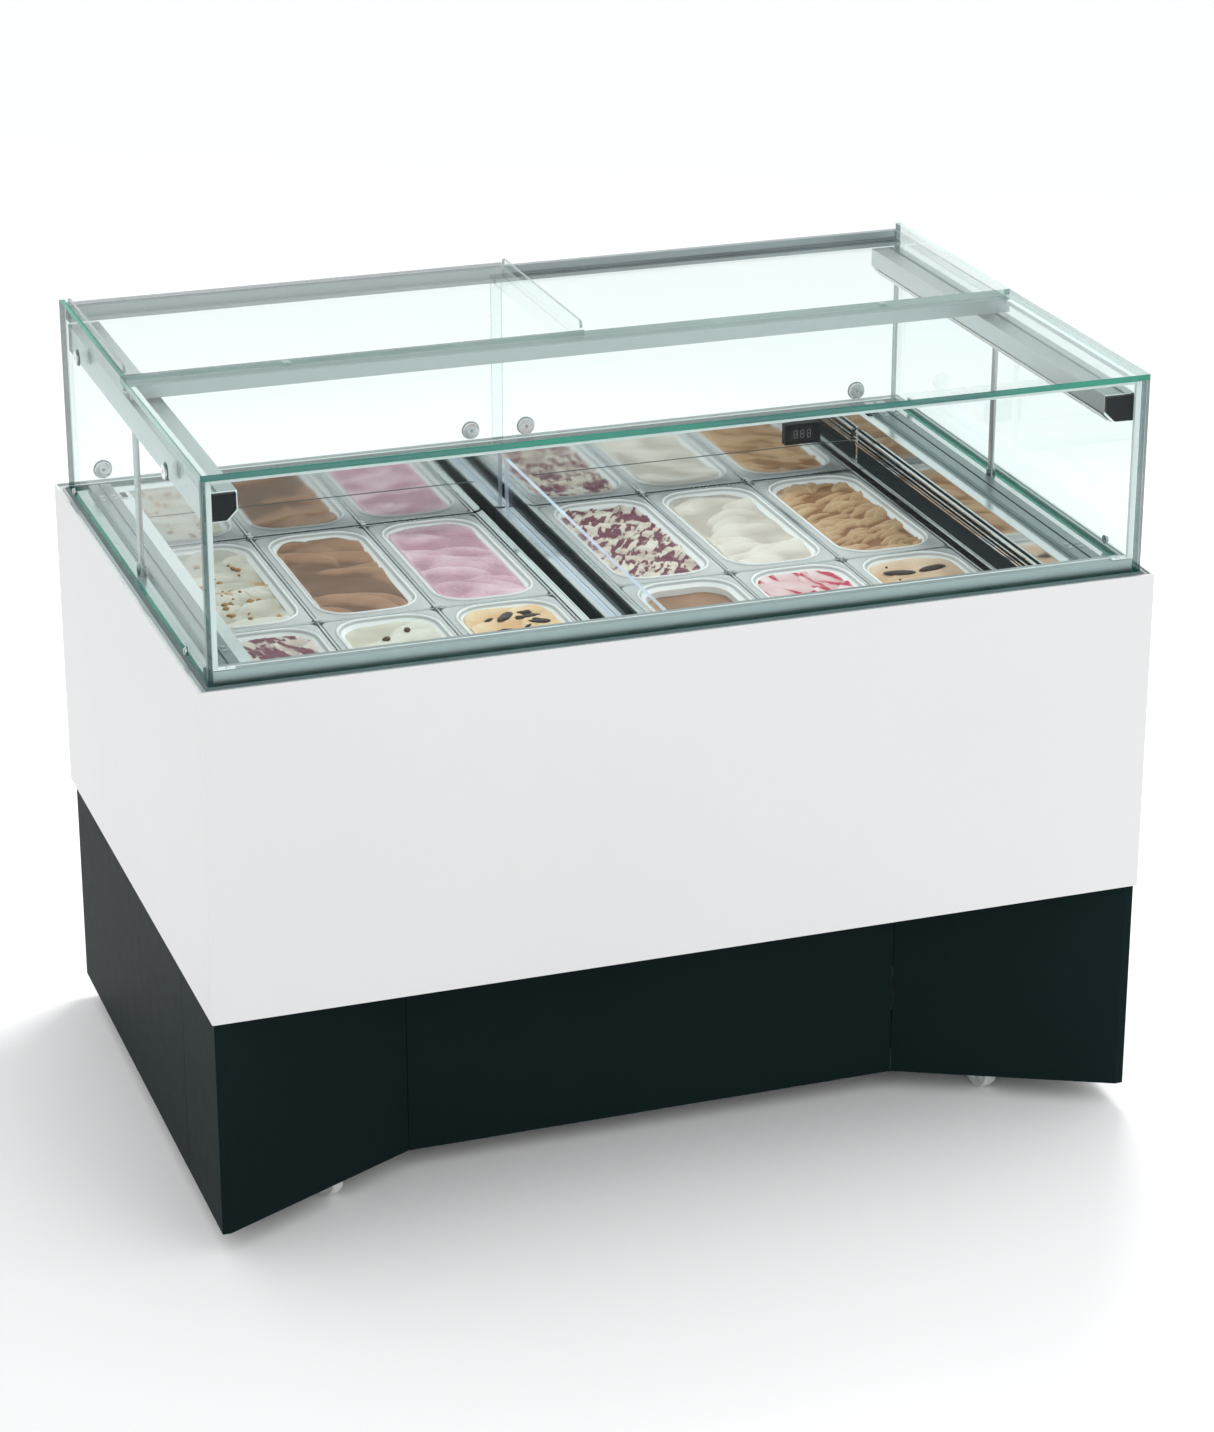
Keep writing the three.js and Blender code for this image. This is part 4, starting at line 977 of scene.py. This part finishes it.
seals = bmesh.new()
seal_leg = 7 * mm
for way in (-1, 1):
    inner_x = way * (half_case_x - pane - gap)
    low_x, high_x = sorted((inner_x, inner_x - way * seal_leg))
    add_bar(seals, (low_x, glass_high.y + gap, glass_low.z + 22 * mm), (high_x, glass_high.y + seal_leg, top_low.z - gap),
            0.8 * mm)
    add_bar(seals, (low_x, glass_high.y + seal_leg + gap, top_low.z - seal_leg), (high_x, top_high.y - 24 * mm,
            top_low.z - gap), 0.8 * mm)
add_bar(seals, (-half_case_x + pane + seal_leg + 2 * gap, glass_high.y + gap, top_low.z - seal_leg),
        (half_case_x - pane - seal_leg - 2 * gap, glass_high.y + seal_leg, top_low.z - gap), 0.8 * mm)
piece("corner_seals", seals, seal_white)

# %% [markdown]
# ## Fixings on the glass
# Turned discs clamp the rear panes and carry the light rails through holes in the side panes. Each is half
# a section spun round its axis, with a socket sunk in its head.

# %% Disc clamps
def disc_section(radius, height, socket=2.2 * mm):
    return [(0, 0), (radius - 0.4 * mm, 0), (radius, 0.5 * mm), (radius, height - 1.2 * mm),
            (radius - 1.2 * mm, height), (socket + 2.4 * mm, height + 0.3 * mm), (socket + 0.4 * mm, height + 0.2 * mm),
            (socket, height - 0.3 * mm), (socket, height - 2.0 * mm), (0, height - 2.0 * mm)]


# a disc on a soft washer, with a dark disc in its socket as painted shade; way is the side of the pane that it stands
# on
def clamp(name, centre, axis, way, radius, height):
    washer = 0.8 * mm
    bm = bmesh.new()
    section = [(distance, way * (level + washer)) for distance, level in disc_section(radius, height)]
    add_turned(bm, section, centre, axis, 32)
    made = piece(name, bm, knob_steel, smooth=True)
    smooth_by_angle(made, 30)
    washer_with_socket_shade = bmesh.new()
    ring = [(0, 0), (radius + 1.3 * mm, 0), (radius + 1.3 * mm, washer * 0.9), (0, washer * 0.9)]
    add_turned(washer_with_socket_shade, [(distance, way * level) for distance, level in ring], centre, axis, 32)
    # a thin dark disc inside the socket: painted shade in the recess
    socket = [(0, height - 1.1 * mm), (2.0 * mm, height - 1.1 * mm), (2.0 * mm, height - 0.9 * mm), (0, height - 0.9 * mm)]
    add_turned(washer_with_socket_shade, [(distance, way * level) for distance, level in socket], centre, axis, 12)
    piece(name + "_washer", washer_with_socket_shade, seal_dark)


rear_low, rear_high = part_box("glass_rear_right")
rear_left_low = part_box("glass_rear_left")[0]
disc_radius = 12.5 * mm
disc_level = deck_level + 27 * mm
for index, disc_x in enumerate((-595, -42, 42, 573)):
    face_y = rear_low.y if disc_x > 0 else rear_left_low.y
    clamp(f"rear_disc_{index + 1}", (disc_x * mm, face_y - gap, disc_level), "Y", -1, disc_radius, 5 * mm)

rail_low, rail_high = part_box("light_rail_right")
rail_middle = (rail_low.z + rail_high.z) / 2
for side_name, way in (("left", -1), ("right", 1)):
    outer_x = way * (half_case_x + 0.1 * mm)
    for spot, clamp_y in (("rear", 291 * mm), ("front", -237 * mm)):
        clamp(f"rail_clamp_{side_name}_{spot}", (outer_x, clamp_y, rail_middle), "X", way, 10.5 * mm, 4 * mm)
    for spot, clamp_y in (("rear", 358 * mm), ("front", -313 * mm)):
        clamp(f"foot_screw_{side_name}_{spot}", (outer_x, clamp_y, deck_level + 13 * mm), "X", way, 5 * mm, 3.5 * mm)

# %% [markdown]
# ## Light rails
# Each rail is a hollow extrusion closed by a black moulded cap in a bright frame, with a frosted strip
# over the lamps in its slanted lower face. The strip and the caps follow the section of the rail.

# %% Rail caps and diffusers
chamfer = 13 * mm


def rail_outline(way, grow=0.0):
    outer, inner = rail_high.x + grow, rail_low.x - grow
    low, high = rail_low.z - grow, rail_high.z + grow
    corners = [(outer, low), (outer, high), (inner, high), (inner, low + chamfer), (inner + chamfer, low)]
    return [(way * x, z) for x, z in corners]


for side_name, way in (("left", -1), ("right", 1)):
    caps = bmesh.new()
    frames = bmesh.new()
    for start, end, cap_start, cap_end in (
            (rail_low.y - 1.8 * mm, rail_low.y - gap, rail_low.y - 5.5 * mm, rail_low.y - 2.0 * mm),
            (rail_high.y + gap, rail_high.y + 1.2 * mm, rail_high.y + 1.4 * mm, rail_high.y + 3.2 * mm)):
        add_profile(frames, rail_outline(way, -0.2 * mm), start, end)
        add_profile(caps, rail_outline(way, -2.2 * mm), cap_start, cap_end)
    piece(f"rail_cap_{side_name}", caps, black_plastic)
    piece(f"rail_cap_frame_{side_name}", frames, chrome)
    strip = bmesh.new()
    near, far = rail_low.x + 1.0 * mm, rail_low.x + chamfer - 1.0 * mm
    add_profile(strip, [(way * (near - 0.9 * mm), rail_low.z + chamfer - 1.9 * mm),
                        (way * (far - 0.9 * mm), rail_low.z + 0.1 * mm),
                        (way * (far - 1.7 * mm), rail_low.z - 0.7 * mm),
                        (way * (near - 1.7 * mm), rail_low.z + chamfer - 2.7 * mm)],
                rail_low.y + 8 * mm, rail_high.y - 8 * mm)
    piece(f"light_strip_{side_name}", strip, diffuser)

# %% [markdown]
# ## Fixings on the beam, the deck and the sill
# Two four-lobed nuts clamp the top pane to the cross beam, screws hold the profiles beside the tubs, and
# small angle brackets close the ends of the sill.

# %% Star nuts
beam_low, beam_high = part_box("top_beam")
nut_y = (top_high.y + 2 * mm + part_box("lid_upper")[0].y) / 2


def star_nut(name, x):
    bm = bmesh.new()
    base = beam_high.z + 0.2 * mm
    for lobe in range(4):
        angle = math.radians(45 + 90 * lobe)
        centre = (x + 4.2 * mm * math.cos(angle), nut_y + 4.2 * mm * math.sin(angle), base)
        add_turned(bm, [(0, 0), (2.6 * mm, 0), (2.6 * mm, 2.6 * mm), (1.9 * mm, 3.3 * mm), (0, 3.3 * mm)], centre, "Z", 14)
    add_turned(bm, [(0, 0), (3.4 * mm, 0), (3.4 * mm, 3.2 * mm), (2.4 * mm, 4.2 * mm), (0, 4.4 * mm)],
               (x, nut_y, base), "Z", 20)
    made = piece(name, bm, chrome, smooth=True)
    smooth_by_angle(made, 30)


star_nut("star_nut_left", -415 * mm)
star_nut("star_nut_right", 452 * mm)


# %% Channel screws, sill brackets and deck slots
def add_pan_screw(bm, centre, radius=3.2 * mm):
    add_turned(bm, [(0, 0), (radius, 0), (radius, 0.6 * mm), (radius * 0.75, 1.5 * mm), (radius * 0.3, 1.9 * mm),
                    (radius * 0.3, 1.2 * mm), (0, 1.2 * mm)], centre, "Z", 16)


channel_low, channel_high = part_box("glass_channel_right")
screws = bmesh.new()
for way in (-1, 1):
    for screw_y in (-310, -296, 326, 340):
        for screw_x in (channel_low.x + 8 * mm, channel_high.x - 8 * mm):
            add_pan_screw(screws, (way * screw_x, screw_y * mm, channel_high.z))
made_screws = piece("channel_screws", screws, zinc_plate, smooth=True)
smooth_by_angle(made_screws, 30)

sill_low, sill_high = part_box("front_sill")
brackets = bmesh.new()
for way in (-1, 1):
    low_x, high_x = sorted((way * (sill_high.x - 1 * mm), way * (sill_high.x - 30 * mm)))
    add_bar(brackets, (low_x, sill_low.y + 1 * mm, sill_high.z + 0.1 * mm), (high_x, sill_low.y + 9 * mm, sill_high.z + 2.5 * mm),
            0.6 * mm)
    upright_low, upright_high = sorted((way * (sill_high.x - 1 * mm), way * (sill_high.x - 3.5 * mm)))
    add_bar(brackets, (upright_low, sill_low.y + 1 * mm, sill_high.z + 2.6 * mm),
            (upright_high, sill_low.y + 9 * mm, sill_high.z + 22 * mm), 0.6 * mm)
    add_pan_screw(brackets, (way * (sill_high.x - 20 * mm), sill_low.y + 5 * mm, sill_high.z + 2.5 * mm), 2.6 * mm)
piece("sill_brackets", brackets, chrome)

# flat near-black faces on the deck stand for the slots in it: painted shade, each in a chrome frame
deck_slot_shade = bmesh.new()
slot_frame = bmesh.new()
for way in (-1, 1):
    slot_middle = (way * 576 * mm, 356 * mm)
    add_ring_stack(deck_slot_shade, slot_middle, [(4 * mm, 13 * mm, 3.9 * mm, deck_level + 0.1 * mm),
                                           (4 * mm, 13 * mm, 3.9 * mm, deck_level + 0.4 * mm)])
    add_ring_stack(slot_frame, slot_middle, [
        (4.2 * mm, 13.2 * mm, 4 * mm, deck_level + 0.1 * mm), (6 * mm, 15 * mm, 5.5 * mm, deck_level + 0.1 * mm),
        (5.6 * mm, 14.6 * mm, 5.2 * mm, deck_level + 1 * mm), (4.4 * mm, 13.4 * mm, 4.2 * mm, deck_level + 1 * mm)],
        closed=True)
piece("deck_slots", deck_slot_shade, slot_shade_black)
piece("deck_slot_frames", slot_frame, chrome)

sill_lines = bmesh.new()
for offset in (12 * mm, 46 * mm):
    lift = 20.2 * mm if offset < 20 * mm else 8.9 * mm
    add_bar(sill_lines, (-sill_high.x + 4 * mm, sill_low.y + offset - 1.2 * mm, sill_low.z + lift - 0.9 * mm),
            (sill_high.x - 4 * mm, sill_low.y + offset + 1.2 * mm, sill_low.z + lift + 0.3 * mm), 0.3 * mm)
piece("sill_seals", sill_lines, seal_white)

# %% [markdown]
# ## Casters
# The wheels are turned: a polyurethane tread with rounded shoulders round a moulded hub with a sunk web.
# The section is spun round the axle, then stood in its fork by the heading that the CAD gives it.

# %% Wheels
tyre_radius, tread_half, bore = 25 * mm, 10 * mm, 4.4 * mm


def wheel_axle(corner):
    low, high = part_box("caster_wheel_" + corner)
    fork_low, fork_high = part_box("caster_fork_" + corner)
    middle = (low + high) / 2
    swivel = Vector((math.copysign(489 * mm, middle.x), 0, 0))
    swivel.y = -294 * mm if "front" in corner else 350 * mm
    return middle, math.atan2(middle.y - swivel.y, middle.x - swivel.x)


for corner in corners:
    middle, heading = wheel_axle(corner)
    for part_name, section, finish, slot_name in (
            ("tyre", [(17 * mm, -9 * mm), (tyre_radius - 3 * mm, -tread_half), (tyre_radius - 1 * mm, -8.6 * mm),
                      (tyre_radius, -6 * mm), (tyre_radius, 6 * mm), (tyre_radius - 1 * mm, 8.6 * mm),
                      (tyre_radius - 3 * mm, tread_half), (17 * mm, 9 * mm), (17 * mm, -9 * mm)],
             tyre_rubber, "grey_rubber"),
            ("hub", [(bore, -9.5 * mm), (8 * mm, -9.5 * mm), (8.5 * mm, -5 * mm), (15 * mm, -4 * mm), (15.5 * mm, -8.5 * mm),
                     (16.8 * mm, -8.5 * mm), (16.8 * mm, 8.5 * mm), (15.5 * mm, 8.5 * mm), (15 * mm, 4 * mm),
                     (8.5 * mm, 5 * mm), (8 * mm, 9.5 * mm), (bore, 9.5 * mm), (bore, -9.5 * mm)],
             seal_white, "grey_rubber")):
        bm = bmesh.new()
        add_turned(bm, section, (0, 0, 0), "Y", 40)
        stand = Matrix.Translation(middle) @ Matrix.Rotation(heading, 4, "Z")
        bmesh.ops.transform(bm, matrix=stand, verts=bm.verts)
        stands_for = ["caster_wheel_" + corner] if part_name == "tyre" else []
        made = piece(f"caster_{part_name}_{corner}", bm, finish, "wheel_" + corner, True, stands_for)
        smooth_by_angle(made, 40)
